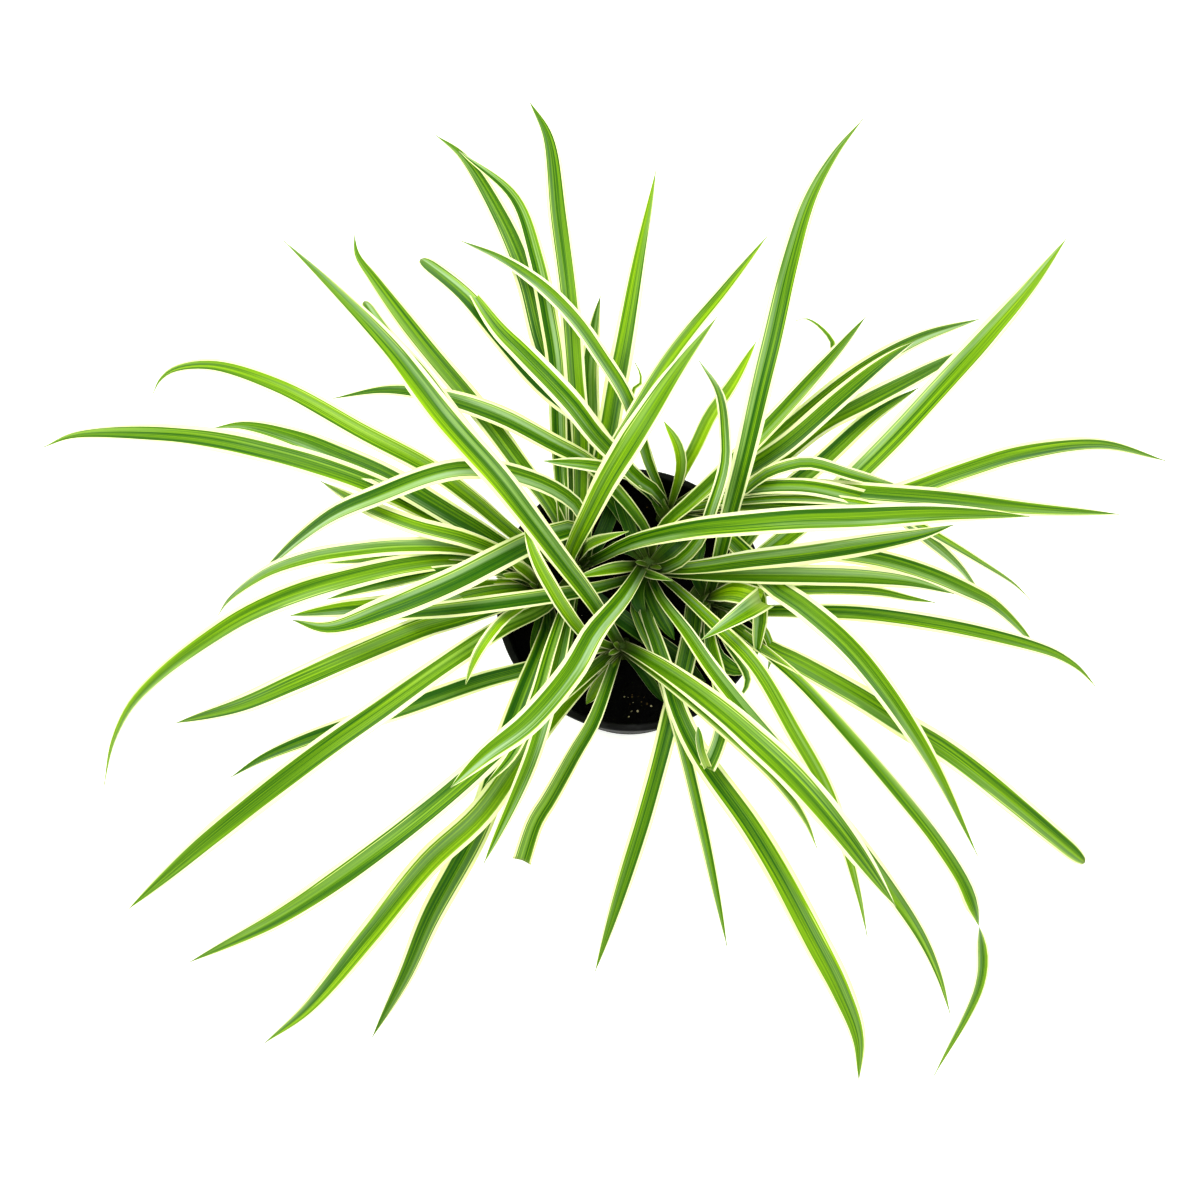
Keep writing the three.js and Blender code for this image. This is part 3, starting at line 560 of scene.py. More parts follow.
# %% The back plantlet
add_plantlet("back", (16, 38), 7.5, [
    blade(10, 172, 118, [
        (16, 40), (11, 49), (2.8, 55), (-7, 66), (-16, 76), (-27, 91), (-49, 115), (-59.5, 126),
        (-77, 150.5),
    ], painted_sheen=0.7, tone=0.4),
    blade(10.5, 152, 104, [
        (15, 40), (9, 48), (-3, 60), (-22, 84), (-40, 99.5), (-58, 121), (-75, 142), (-96, 160),
    ], painted_sheen=0.8, tone=0.4, cut=True),
    blade(7, 154, 106, [
        (16, 41), (13, 50), (8, 62), (3, 80), (-3, 96), (-12.6, 112), (-25, 130.5), (-40.6, 147),
        (-58, 159.5), (-78, 169),
    ], painted_sheen=0.6, tone=0.35),
    blade(2.6, 128, 128, [
        (16, 42), (8, 68), (2, 88), (0.5, 97), (4, 99), (4.5, 104), (2, 110),
    ], tone=0.8, margin=0.5),
    blade(6.5, 138, 128, [
        (17, 41), (23, 58), (29, 70), (36, 85), (46, 100), (57, 120),
    ], tone=0.9),
    blade(5, 140, 140, [
        (17, 41), (20.5, 52), (22.5, 62), (21, 71), (15, 82),
    ], tone=0.7, margin=0.68),
    blade(4, 126, 100, [
        (18, 40), (39, 56), (60, 77), (83, 104), (92, 117), (88, 125), (80, 131), (75, 130),
    ]),
    blade(9, 130, 62, [
        (18, 41), (35, 52), (52, 64), (70, 78), (100, 103), (130, 121), (159, 131),
    ], painted_sheen=0.9),
    blade(7.5, 152, 30, [
        (19, 40), (38, 45), (52, 50), (76, 51.6), (98, 47.5), (114.5, 42), (130, 29), (146, 14),
        (158, -4),
    ], painted_sheen=0.6),
    blade(4.5, 150, 52, [
        (19, 40), (45, 44), (70, 46), (100, 44), (120, 38), (134, 30), (153, 18), (170, 6.4),
        (177, -1),
    ], painted_sheen=0.5, margin=0.63),
    blade(6, 156, 118, [
        (18, 40), (38, 44), (51, 50), (60, 57), (70, 61), (80, 62.5), (99, 57), (121, 50),
        (131, 45),
    ], painted_sheen=0.5),
    blade(8.8, 148, 92, [
        (19, 40), (42, 44), (60, 50), (80, 51), (100, 49), (140.5, 45.7), (176, 41.4),
        (218, 38.6),
    ]),
    blade(9.7, 146, 62, [
        (19, 39), (50, 43), (80, 42), (105, 44), (120, 48), (147, 58), (176, 67), (211.6, 71),
        (240, 63.6),
    ]),
    blade(11, 142, 66, [
        (18, 37), (36, 33), (50, 21), (63, 5.5), (75, -3), (95, -21), (110, -40), (123, -60),
        (134, -80), (149.6, -115),
    ], tone=0.5, painted_sheen=0.3, narrow_from=0.45, fade_curve=1.8),
    blade(6, 144, 136, [(15, 40), (3, 55), (-13, 60.5), (-39, 63.5)], painted_sheen=0.7),
    blade(9, 140, 108, [
        (18, 39), (32, 47), (45, 54.5), (58, 63), (70, 71.5), (94, 93), (118, 113), (128.6, 120),
    ]),
    blade(9.8, 132, 84, [
        (19, 38), (34, 43), (50, 51), (66, 64), (84, 79), (106, 91), (130, 104), (157, 118.6),
    ]),
    inner(6, 106, 104, [(16, 37), (13, 42), (10, 49)], tone=0.4, margin=0.8, root_width=0.8),
])

# %% [markdown]
# The left plantlet reaches furthest out, over the rim, and has some short pale blades.

# %% The left plantlet
add_plantlet("left", (-41, 4), 6.5, [
    blade(10.8, 138, 84, [
        (-41, 6), (-52, 17), (-70, 28.5), (-90, 39.5), (-120, 54), (-160, 67), (-200, 75),
        (-250, 75.5), (-264, 70),
    ], tone=0.4),
    blade(11.5, 136, 96, [
        (-41, 6), (-48, 17), (-62, 27), (-80, 38), (-110, 56), (-130, 65), (-150, 73.6),
        (-174.5, 80), (-188, 79),
    ], painted_sheen=0.6, tone=0.35),
    blade(11.8, 124, 60, [
        (-40, 2), (-36, -8), (-39.5, -22), (-45.5, -38), (-55, -65), (-66, -101), (-87, -142),
        (-97, -166), (-111, -193),
    ], tone=0.35),
    blade(12, 126, 62, [
        (-43, 4), (-57, -3), (-77, -9.5), (-91.5, -13.5), (-121, -26), (-147.6, -38), (-170, -48),
        (-200, -56.5),
    ], tone=0.4),
    blade(11, 142, 28, [
        (-43, 6), (-60, 14.5), (-80, 17), (-100, 15), (-124, 9.5), (-146, 3), (-169, -7),
        (-189, -20), (-206.5, -34), (-220, -49), (-227, -65), (-230, -84),
    ], tone=0.55, narrow_from=0.4, fade_curve=1.8),
    blade(8, 138, 52, [
        (-42, 7), (-58, 18), (-75, 23), (-100, 24), (-123, 22), (-145, 18), (-163, 11),
        (-178.5, -1), (-183, -8),
    ], painted_sheen=0.5, margin=0.63),
    blade(8, 142, 104, [
        (-41, 7), (-54, 18.5), (-73, 27), (-97, 33.5), (-118, 42), (-129, 48), (-139, 54),
    ], margin=0.55, tone=0.6),
    blade(5.5, 128, 104, [(-43, 6), (-62, 17), (-83, 20), (-109.5, 18.5), (-136.5, 16)]),
    blade(9, 122, 100, [
        (-43, 4), (-65, 5), (-90, 0), (-111, -3.5), (-128.5, -5), (-151, -8),
    ], painted_sheen=0.8),
    blade(6, 132, 108, [(-43, 5), (-60, 12), (-83, 12), (-109.5, 6.5), (-135, -0.5)], painted_sheen=0.5),
    blade(6, 118, 104, [(-43, 5), (-56, 4), (-76, 0), (-94, -6)]),
    blade(5, 138, 118, [
        (-41, 2), (-47, -3), (-57, -10), (-66, -22), (-70, -30), (-73, -39),
    ], tone=0.8, margin=0.55),
    blade(3.4, 114, 114, [(-42, 5), (-50, 10), (-60, 9.5)], tone=0.9, margin=0.5),
    blade(3, 110, 110, [(-42, 5), (-52, 8), (-64, 7)], tone=0.9, margin=0.5),
    blade(5.5, 120, 120, [(-41, 6), (-47, 12.5), (-54, 17)], tone=0.8, margin=0.55),
    inner(7, 106, 103, [(-41, 2), (-39, -8), (-41, -17), (-43.5, -27)], root_width=0.7),
])

# %% [markdown]
# The last plantlet stands left of the middle. Its tall blade arches over all the rest, and
# a fan of long ones lies straight to the back.

# %% The plantlet left of the middle
add_plantlet("centre", (-25, 13), 8, [
    blade(9.3, 142, 84, [
        (-28, 14), (-40, 21), (-53, 30), (-69, 44), (-90, 60), (-120, 76.5), (-160, 99),
        (-190, 108.6), (-207, 106.5), (-213, 101.5), (-216, 95),
    ], tone=0.55),
    blade(9.8, 126, 90, [
        (-26, 15), (-30, 30), (-37, 44), (-50, 62), (-66, 84), (-95, 120), (-117, 150),
        (-125, 162), (-126.6, 172),
    ], tone=0.5),
    blade(9.5, 138, 112, [
        (-25, 15), (-23, 40), (-22.5, 60), (-23, 80), (-25, 100), (-28, 140), (-33, 180),
        (-38, 220), (-46.6, 237.7),
    ], narrow_from=0.7),
    blade(11, 130, 92, [
        (-26, 15), (-26, 45), (-27.5, 75), (-32, 100), (-39.5, 118), (-47.5, 150), (-59.5, 180),
        (-77.5, 210.5), (-90, 221),
    ], tone=0.35),
    blade(8.8, 134, 108, [
        (-27, 15), (-30, 33), (-31, 50), (-32.5, 75), (-34, 110), (-37, 130), (-43, 160),
        (-53.4, 190), (-79, 213),
    ], painted_sheen=0.8, tone=0.4),
    blade(10.8, 132, 112, [
        (-24, 15), (-19, 36), (-14, 58), (-10, 78), (-6.4, 100), (-2.7, 120), (4, 160),
        (9.6, 190), (12, 204),
    ], tone=0.6, narrow_from=0.45, fade_curve=1.9),
    blade(12, 196, 150, [
        (-29, 11), (-26.3, 21.3), (-18.3, 39), (-10, 55.5), (4.6, 80), (20.7, 106), (39.4, 132),
    ], tone=0.6, margin=0.73, narrow_from=0.45, fade_curve=1.7),
    blade(6.8, 152, 118, [
        (-25, 17), (-17, 45), (-8, 68), (3, 88), (15, 108.5), (28, 126.5), (43.5, 146),
        (62.7, 171),
    ], tone=0.65),
    blade(8.8, 120, 104, [
        (-23, 16), (-20, 45), (-19, 65), (-18.5, 85), (-18.5, 109), (-16, 130), (-13.7, 142),
    ], painted_sheen=0.4, tone=0.35),
    blade(11, 184, 140, [
        (-22, 14), (-13, 18.5), (0, 25), (25, 31.2), (50, 34), (75, 36), (100, 36.8), (140, 38.8),
        (178, 37.6),
    ], painted_sheen=0.7, tone=0.55, margin=0.74, narrow_from=0.5),
    blade(7.3, 148, 130, [
        (-25, 8), (-29, -13), (-35, -41), (-43, -70), (-51, -90), (-64, -118),
    ], painted_sheen=0.8),
    blade(6, 148, 140, [(-26, 8), (-31, -8), (-36, -24), (-42, -45), (-52, -70), (-64, -84)]),
    blade(11.5, 134, 60, [
        (-27, 9), (-38, -4), (-58, -14), (-80, -28.5), (-110, -50.5), (-140, -72.6), (-180, -105),
        (-217, -138),
    ], tone=0.55, painted_sheen=0.3, narrow_from=0.65),
    blade(6.5, 136, 136, [
        (-24, 17), (-18.5, 24.5), (-10, 28), (-1, 30.8),
    ], tone=0.8, margin=0.55, root_width=0.7, narrow_from=0.2, fade_curve=1.5),
    blade(9.3, 162, 52, [
        (-24, 15), (-20, 30), (-24, 42), (-34, 50), (-48, 56), (-62, 59.3), (-78, 59.5),
        (-92, 56), (-113, 47.5), (-132, 39), (-148, 27), (-161, 14.6), (-167, 8.6),
    ], painted_sheen=0.9, tone=0.4),
    blade(12, 152, 128, [
        (-24, 15), (-19, 22), (-19.5, 28), (-26, 31.5), (-36, 29), (-46, 25), (-60, 17.5),
        (-80, 7), (-108, -5), (-134, -13.6), (-150, -10),
    ], painted_sheen=0.6, tone=0.4),
    inner(8.5, 103.5, 97.5, [
        (-23, 9), (-14, -2), (-5, -9), (8, -18.5), (21.5, -28), (32.6, -37.9),
    ], tone=0.15, margin=0.86, root_width=0.6),
    inner(6, 116, 108, [(-25, 9), (-27, -6), (-29, -20), (-33, -36), (-37, -48)], root_width=0.7),
    inner(7, 105, 100, [
        (-23, 15), (-17, 22), (-12, 31), (-8, 42), (-6, 50),
    ], tone=0.1, margin=0.86, root_width=0.6),
])

# %% [markdown]
# ## From a course to a surface
#
# The course is a smooth curve through its points, walked at even lengths. A parabola lifts it
# from the crown over the top of the arch down to the tip. The width grows from `root_width` at
# the root to full at `full_from`, and narrows again after `narrow_from`, late or early as
# `fade_curve` says. A `cut` blade was trimmed and ends before it comes to a point.

# %% The spine of a blade
ROOT_HEIGHT = SOIL_LEVEL + 2.5 * MM
SAMPLES = 24  # straight steps between two points of a course
RING_LENGTH = 4.5 * MM
FEWEST_RINGS = 12
TIP_CROWDING = 1.4  # how much closer the rings stand towards the tip
ROOT_WIDTH = 0.4  # a blade's width at its root, as a part of its full width
FULL_FROM = 0.5  # it reaches its full width at this part of its length
NARROW_FROM = 0.55  # from this part on it narrows
FADE_CURVE = 2.8  # the higher, the later it narrows to its tip
CUT_POINT = 1.2  # where a cut blade's tip would have been


def smooth_course(marks):
    """Many places along a centripetal Catmull-Rom curve through the marks."""
    marks = [np.array(mark, float) for mark in marks]
    marks = [2 * marks[0] - marks[1]] + marks + [2 * marks[-1] - marks[-2]]
    places = []
    for before, start, end, after in zip(marks, marks[1:], marks[2:], marks[3:]):
        pairs = ((before, start), (start, end), (end, after))
        first, middle, last = (np.linalg.norm(b - a) ** 0.5 for a, b in pairs)
        straight = (end - start) / middle
        leave = (start - before) / first - (end - before) / (first + middle) + straight
        arrive = straight - (after - start) / (middle + last) + (after - end) / last
        leave, arrive = leave * middle, arrive * middle
        for share in np.arange(SAMPLES) / SAMPLES:
            bend = (3 * (end - start) - 2 * leave - arrive) * share ** 2
            bend = bend + (2 * (start - end) + leave + arrive) * share ** 3
            places.append(start + leave * share + bend)
    return np.array(places + [marks[-2]])


def arch_height(leaf, along):
    """The height of the arch: a parabola that just reaches the top."""
    root = leaf.get("root", ROOT_HEIGHT / MM)
    rise = leaf["top"] - root
    end = leaf["tip"] - root
    climb = 2 * rise + 2 * math.sqrt(rise * (rise - end))
    return (root + climb * along - (climb - end) * along ** 2) * MM


def blade_spine(leaf):
    """Places along the midrib, each with how far along the blade it lies."""
    walked = smooth_course(leaf["course"])
    lengths = np.concatenate([[0], np.cumsum(np.linalg.norm(np.diff(walked, axis=0), axis=1))])
    rings = max(FEWEST_RINGS, round(lengths[-1] * MM / RING_LENGTH))
    spine = []
    for ring in range(rings + 1):
        along = 1 - (1 - ring / rings) ** TIP_CROWDING
        x, y = (np.interp(along * lengths[-1], lengths, walked[:, axis]) * MM for axis in (0, 1))
        spine.append((along, from_sight(x, y, arch_height(leaf, along))))
    return spine


def blade_width(leaf, along):
    """Narrow at the root, full before the middle, then a fine point or a cut end."""
    root_width = leaf.get("root_width", ROOT_WIDTH)
    narrow_from = leaf.get("narrow_from", NARROW_FROM)
    swell = math.sin(math.pi / 2 * min(along / leaf.get("full_from", FULL_FROM), 1))
    point = CUT_POINT if leaf.get("cut") else 1
    fade = max(along - narrow_from, 0) / (point - narrow_from)
    narrowing = 1 - fade ** leaf.get("fade_curve", FADE_CURVE)
    return leaf["width"] * MM * (root_width + (1 - root_width) * swell) * narrowing


# %% [markdown]
# Each blade starts as a flat grid, whose x runs across the blade and whose y runs along it.
# Every vertex then moves to its place on the arch. Across each place the blade is a shallow
# gutter: its edges rise above the midrib, more so near the root, where it is folded. It leans
# a little to one side, its edges ripple, a cut end is rounded, and one blade turns its back
# up near its tip. The numbers that the material reads are written on the vertices first, so
# that they stay with them when the blade gets its thickness.

# %% The surface of a blade
ACROSS = 12  # strips from edge to edge
BLADE_THICKNESS = 0.55 * MM
THINNEST = 0.4 * MM  # the width of a blade at its very tip
GUTTER = 0.13  # how far the edges rise, as a part of the width
GUTTER_CURVE = 1.25
ROOT_FOLD = 1.6  # how much more they rise at the root
FOLD_END = 0.18  # the part of the length over which that fold opens
RIPPLE = 0.03  # how far the edges ripple, as a part of the width
WAVES = (3, 6)  # ripples from root to tip, at least and at most
MOST_LEAN = 9  # degrees
HEADING_SPAN = 32 * MM  # the blade's heading is read over this length
CUT_ROUND = 1.7  # a cut end is rounded over this many widths
HALF_TURN_SPAN = 0.16  # the part of its length over which a blade turns its back up
NO_TURN = 2  # a place past the tip, for the blades that don't turn
LAYERS = ("across", "run", "along", "tone", "painted_sheen", "margin", "seed")


def blade_rings(leaf, draw):
    """For each ring: the midrib, the direction to the right, the direction up and the width."""
    spine = blade_spine(leaf)
    last = len(spine) - 1
    tip = spine[last][1]
    reach = max(2, round(HEADING_SPAN / RING_LENGTH))
    roll = math.radians(draw.uniform(-MOST_LEAN, MOST_LEAN))
    rings = []
    for ring, (along, place) in enumerate(spine):
        tangent = (spine[min(ring + 1, last)][1] - spine[max(ring - 1, 0)][1]).normalized()
        heading = spine[min(ring + reach, last)][1] - spine[max(ring - reach, 0)][1]
        right = Vector((heading.y, -heading.x, 0)).normalized()
        right = (right - right.dot(tangent) * tangent).normalized()
        turned = (along - leaf.get("turns_at", NO_TURN)) / HALF_TURN_SPAN + 0.5
        turned = min(max(turned, 0), 1)
        lean = roll * math.sin(math.pi * along) + math.pi * turned ** 2 * (3 - 2 * turned)
        right = Matrix.Rotation(lean, 3, tangent) @ right
        up = right.cross(tangent)
        width = blade_width(leaf, along)
        if leaf.get("cut") and "narrow_from" not in leaf:  # others meet a fold, or end straight
            left = min((tip - place).length / (CUT_ROUND * width), 1)
            width *= math.sqrt(1 - (1 - left) ** 2)
        rings.append((place, right, up, max(width, THINNEST), along))
    return rings


def add_blade(bm, layers, leaf, draw):
    """Adds one blade to a bmesh."""
    rings = blade_rings(leaf, draw)
    last = len(rings) - 1
    seed = draw.random()
    waves = draw.uniform(*WAVES)
    grid = bmesh.ops.create_grid(bm, x_segments=ACROSS, y_segments=last, size=1)["verts"]
    run = [0.0]
    for ring in range(last):
        run.append(run[-1] + (rings[ring + 1][0] - rings[ring][0]).length)
    for vert in grid:
        across = vert.co.x
        ring = round((vert.co.y + 1) / 2 * last)
        place, right, up, width, along = rings[ring]
        fold = GUTTER * (1 + ROOT_FOLD * max(0, 1 - along / FOLD_END))
        rise = width * fold * abs(across) ** GUTTER_CURVE
        swing = math.sin(waves * 2 * math.pi * along + 3 * across)
        ripple = RIPPLE * width * swing * abs(across) ** 3
        vert.co = place + right * across * width / 2 + up * (rise + ripple)
        values = {"across": across, "run": run[ring], "along": along, "seed": seed, **leaf["look"]}
        for name, layer in layers.items():
            vert[layer] = values[name]
    faces = list({face for vert in grid for face in vert.link_faces})
    shell = bmesh.ops.solidify(bm, geom=faces, thickness=BLADE_THICKNESS)["geom"]
    skin = {part for part in shell if isinstance(part, bmesh.types.BMFace)} | set(faces)
    bmesh.ops.recalc_face_normals(bm, faces=list(skin))


# %% [markdown]
# ## Turned shapes
#
# The crowns, the pot and the soil are all turned: an outline of radius and height is spun
# around the upright axis, and its first and last turn are joined.

# %% Spin an outline
def spin_outline(bm, outline, steps):
    """Spins an outline that starts and ends on the axis into a closed body."""
    verts = [bm.verts.new((radius, 0, height)) for radius, height in outline]
    edges = [bm.edges.new(pair) for pair in zip(verts, verts[1:])]
    bmesh.ops.spin(
        bm, geom=verts + edges, axis=(0, 0, 1), cent=(0, 0, 0),
        angle=2 * math.pi, steps=steps, use_merge=True,
    )
    bmesh.ops.remove_doubles(bm, verts=bm.verts, dist=0.01 * MM)
    bmesh.ops.recalc_face_normals(bm, faces=bm.faces)


# %% [markdown]
# ## Crowns
#
# Where the blades meet, the folded leaf bases clasp each other in a short sheath. It is a
# turned dome with soft ribs, and from its middle two young blades push up, still folded and
# pale. They are drawn by a seeded rule, because in the real crown they are half hidden.

# %% A crown with its young blades
CROWN_RISE = 5.5 * MM
CROWN_DEPTH = 6 * MM  # how far the sheath reaches into the soil
SHEATH_WIDTH = 0.72  # its radius, as a part of the ring that the blades grow from
SHEATH_STEPS = 42
RIBS = 7
RIB_DEPTH = 0.09
CROWN_LOOK = {"along": 0.03, "tone": 0.3, "margin": 0.74}
YOUNG_BLADES = 2
YOUNG_REACH = (3, 7)  # millimetres, as are the next two
YOUNG_TOP = (104, 109)
YOUNG_WIDTH = (2.4, 3.2)


def add_crown(bm, layers, plantlet):
    """Turns the sheath of leaf bases in a bmesh that is still empty."""
    place = from_sight(*(value * MM for value in plantlet["crown"]), SOIL_LEVEL)
    radius = plantlet["radius"] * MM * SHEATH_WIDTH
    outline = [(0, -CROWN_DEPTH), (radius, -CROWN_DEPTH), (radius, 0)]
    outline += [(radius * 0.85, 0.4 * CROWN_RISE), (radius * 0.55, 0.8 * CROWN_RISE)]
    outline += [(radius * 0.25, CROWN_RISE), (0, CROWN_RISE)]
    spin_outline(bm, outline, SHEATH_STEPS)
    for vert in bm.verts:
        rib = math.cos(RIBS * math.atan2(vert.co.y, vert.co.x))
        swell = 1 + RIB_DEPTH * rib
        vert[layers["across"]] = 0.75 * rib
        vert[layers["run"]] = vert.co.z
        for name, value in CROWN_LOOK.items():
            vert[layers[name]] = value
        x, y = vert.co.x * swell + place.x, vert.co.y * swell + place.y
        vert.co = Vector((x, y, vert.co.z + SOIL_LEVEL))


def young_blade(plantlet, draw):
    """A short folded blade that stands in the middle of a crown."""
    x, y = plantlet["crown"]
    turn = draw.uniform(0, 2 * math.pi)
    reach = draw.uniform(*YOUNG_REACH)
    course = []
    for share in (0, 0.5, 1):
        away = share * reach
        course.append((x + away * math.cos(turn), y + away * math.sin(turn)))
    top = draw.uniform(*YOUNG_TOP)
    return blade(draw.uniform(*YOUNG_WIDTH), top, top, course, tone=0.75, margin=0.62)


# %% [markdown]
# ## The plantlets
#
# One object holds one plantlet: its crown, its blades and its young blades. It stands for the
# solid of the same name. Its edges are made sharp where the blade's face meets its thin rim.

# %% Build the six plantlets
SHARP = math.radians(50)
FIRST_SEED = 40

for number, (name, plantlet) in enumerate(PLANTLETS.items()):
    draw = random.Random(FIRST_SEED + number)
    bm = bmesh.new()
    layers = {layer: bm.verts.layers.float.new(layer) for layer in LAYERS}
    add_crown(bm, layers, plantlet)
    young = [young_blade(plantlet, draw) for _ in range(YOUNG_BLADES)]
    for leaf in plantlet["blades"] + young:
        add_blade(bm, layers, leaf, draw)
    for face in bm.faces:
        face.smooth = True
    piece = new_piece("leaves_" + name, bm, leaf_material, "plantlet_" + name)
    piece.data.set_sharp_from_angle(angle=SHARP)

# %% [markdown]
# ## The pot
#
# A nursery pot is blown from thin black plastic. A turned outline gives its tapered wall, the
# upright collar and the rounded rim. Eight drain holes are then cut out of the base. Its
# finish is a satin black with a fine moulded grain and grey scuffs of wear, with a little dried
# soil on the inside. Along the top of the rim the grey grows stronger: there it is a painted
# highlight as well as wear.

# %% The finish of the pot
pot_material, pot_tree, pot_shader = new_material("pot_plastic")
pot_place = object_place(pot_tree)
grain = speckle(pot_tree, pot_place, 900.0)
scuffs = speckle(pot_tree, pot_place, 160.0, 6.0)
clouds = speckle(pot_tree, pot_place, 35.0, 4.0)

BLACK_PLASTIC = rgb(9, 10, 9)
SCUFF_AND_RIM_HIGHLIGHT_GREY = rgb(38, 39, 38)
SOIL_DUST = rgb(44, 38, 30)
POT_GLOSS = 0.22
POT_RELIEF = 0.0003  # metres
HIGHLIT_RIM_HEIGHT = 4 * MM  # the scuffs grow stronger over the last of the rim

# painted highlight: towards the top of the rim the grey scuffs grow stronger, so the rim is painted
# lighter as well as worn
near_rim = height_of(pot_tree, pot_place).step(POT_HEIGHT - HIGHLIT_RIM_HEIGHT, POT_HEIGHT)
scuffs_and_rim_highlight = scuffs.step(0.5, 0.75) * (0.25 + near_rim * 0.6)
plastic = mix(pot_tree, scuffs_and_rim_highlight, BLACK_PLASTIC, SCUFF_AND_RIM_HIGHLIGHT_GREY)
plastic = mix(pot_tree, clouds.step(0.55, 0.8) * 0.35, plastic, SOIL_DUST)
pot_bump = bump(pot_tree, 0.4, POT_RELIEF, grain * 0.5 + scuffs * 0.5)
connect(pot_tree, pot_shader, Base_Color=plastic, Roughness=0.42 + clouds * 0.3, Normal=pot_bump)
pot_shader.inputs["Specular IOR Level"].default_value = POT_GLOSS
print("the pot's material has", len(pot_tree.nodes), "nodes")

# %% The shape of the pot
RIM_RADIUS = 60 * MM
BASE_RADIUS = 41 * MM
WALL = 1.6 * MM
COLLAR_HEIGHT = 8 * MM
COLLAR_STEP = 2.2 * MM  # how far the collar stands out from the wall
RIM_LIP = 3.4 * MM
RIM_ROUND = 1.1 * MM
COLLAR_ROUND = 0.8 * MM
FOOT_ROUND = 2 * MM
BASE_HOLLOW = 0.6 * MM  # the base rests on its edge, and its middle is this far up
RING_HEIGHTS = (12 * MM, 60 * MM)  # two raised rings go round the wall
RING_PROUD = 0.25 * MM
RING_SUNK = 0.05 * MM
POT_STEPS = 144
COLLAR_FOOT = POT_HEIGHT - COLLAR_HEIGHT
WALL_SLOPE = (RIM_RADIUS - COLLAR_STEP - BASE_RADIUS) / COLLAR_FOOT


def wall(height):
    """The outer radius of the tapered wall."""
    return BASE_RADIUS + WALL_SLOPE * height


def corner(radius, height, round_by, start, end):
    """Points on a rounded corner of the outline, from one angle to another in degrees."""
    points = []
    for share in range(5):
        turn = math.radians(start + (end - start) * share / 4)
        points.append((radius + round_by * math.cos(turn), height + round_by * math.sin(turn)))
    return points


outline = [(0, BASE_HOLLOW), (BASE_RADIUS - 6 * MM, BASE_HOLLOW), (BASE_RADIUS - 5 * MM, 0)]
outline += corner(BASE_RADIUS - FOOT_ROUND, FOOT_ROUND, FOOT_ROUND, -90, 0)
for ring_height in RING_HEIGHTS:
    outline += [
        (wall(ring_height) - RING_SUNK, ring_height),
        (wall(ring_height) + RING_PROUD, ring_height + 0.5 * MM),
        (wall(ring_height + MM) - RING_SUNK, ring_height + MM),
    ]
outline += [(wall(COLLAR_FOOT - 1.5 * MM), COLLAR_FOOT - 1.5 * MM)]
outline += corner(RIM_RADIUS - 2 * MM, COLLAR_FOOT + COLLAR_ROUND, COLLAR_ROUND, -90, 0)
outline += [
    (RIM_RADIUS - RIM_ROUND, POT_HEIGHT - 4.5 * MM),
    (RIM_RADIUS - 0.4 * MM, POT_HEIGHT - 4 * MM),
]
outline += corner(RIM_RADIUS - RIM_ROUND, POT_HEIGHT - RIM_ROUND, RIM_ROUND, 0, 90)
outline += corner(RIM_RADIUS - RIM_LIP + RIM_ROUND, POT_HEIGHT - RIM_ROUND, RIM_ROUND, 90, 180)
outline += [  # from here on, the inside
    (RIM_RADIUS - RIM_LIP, POT_HEIGHT - 3 * MM),
    (RIM_RADIUS - COLLAR_STEP - 2.2 * MM, COLLAR_FOOT + 2 * MM),
    (wall(COLLAR_FOOT - 4 * MM) - WALL, COLLAR_FOOT - 4 * MM),
    (wall(3 * MM) - WALL, 3.2 * MM),
    (wall(3 * MM) - WALL - 2 * MM, WALL),
    (0, WALL),
]

bm = bmesh.new()
spin_outline(bm, outline, POT_STEPS)
for face in bm.faces:
    face.smooth = True
pot = new_piece("pot_shell", bm, pot_material, "pot")

# %% [markdown]
# The holes are cut by a Boolean modifier. Its result is kept as the mesh, and the cutter goes.

# %% Cut the drain holes
DRAIN_HOLES = 8
DRAIN_HOLE_RADIUS = 3.5 * MM
DRAIN_CIRCLE_RADIUS = 33 * MM
HOLE_SIDES = 32
CUTTER_LENGTH = 6 * MM
POT_SHARP = math.radians(35)

bm = bmesh.new()
for hole in range(DRAIN_HOLES):
    turn = 2 * math.pi * hole / DRAIN_HOLES
    centre = (DRAIN_CIRCLE_RADIUS * math.cos(turn), DRAIN_CIRCLE_RADIUS * math.sin(turn), MM)
    bmesh.ops.create_cone(
        bm, cap_ends=True, segments=HOLE_SIDES, radius1=DRAIN_HOLE_RADIUS,
        radius2=DRAIN_HOLE_RADIUS, depth=CUTTER_LENGTH, matrix=Matrix.Translation(centre),
    )
cutter = mesh_object("cutter", bm)
cut = pot.modifiers.new("holes", "BOOLEAN")
cut.operation = "DIFFERENCE"
cut.object = cutter
bored = bpy.data.meshes.new_from_object(pot.evaluated_get(bpy.context.evaluated_depsgraph_get()))
pot.modifiers.clear()
pot.data = bored
bpy.data.objects.remove(cutter)
pot.data.set_sharp_from_angle(angle=POT_SHARP)
print("pot_shell has", len(pot.data.polygons), "faces after the holes are cut")

# %% [markdown]
# ## The soil
#
# Potting soil is near black when it is moist. Its top is a turned sheet that noise lifts into
# crumbs. Loose crumbs lie on it, and among them pale bits of bark and perlite, which show in
# the gap between the front blades.

# %% The finish of the soil
soil_material, soil_tree, soil_shader = new_material("soil")
soil_place = object_place(soil_tree)
bit = attribute(soil_tree, "bit")
soil_grain = speckle(soil_tree, soil_place, 700.0, 4.0)
soil_clouds = speckle(soil_tree, soil_place, 120.0, 3.0)

WET_SOIL = rgb(3, 4, 2)
DRY_SOIL = rgb(19, 18, 10)
BARK = rgb(104, 86, 52)
PERLITE = rgb(186, 178, 142)
SOIL_GLOSS = 0.15
SOIL_RELIEF = 0.0008  # metres

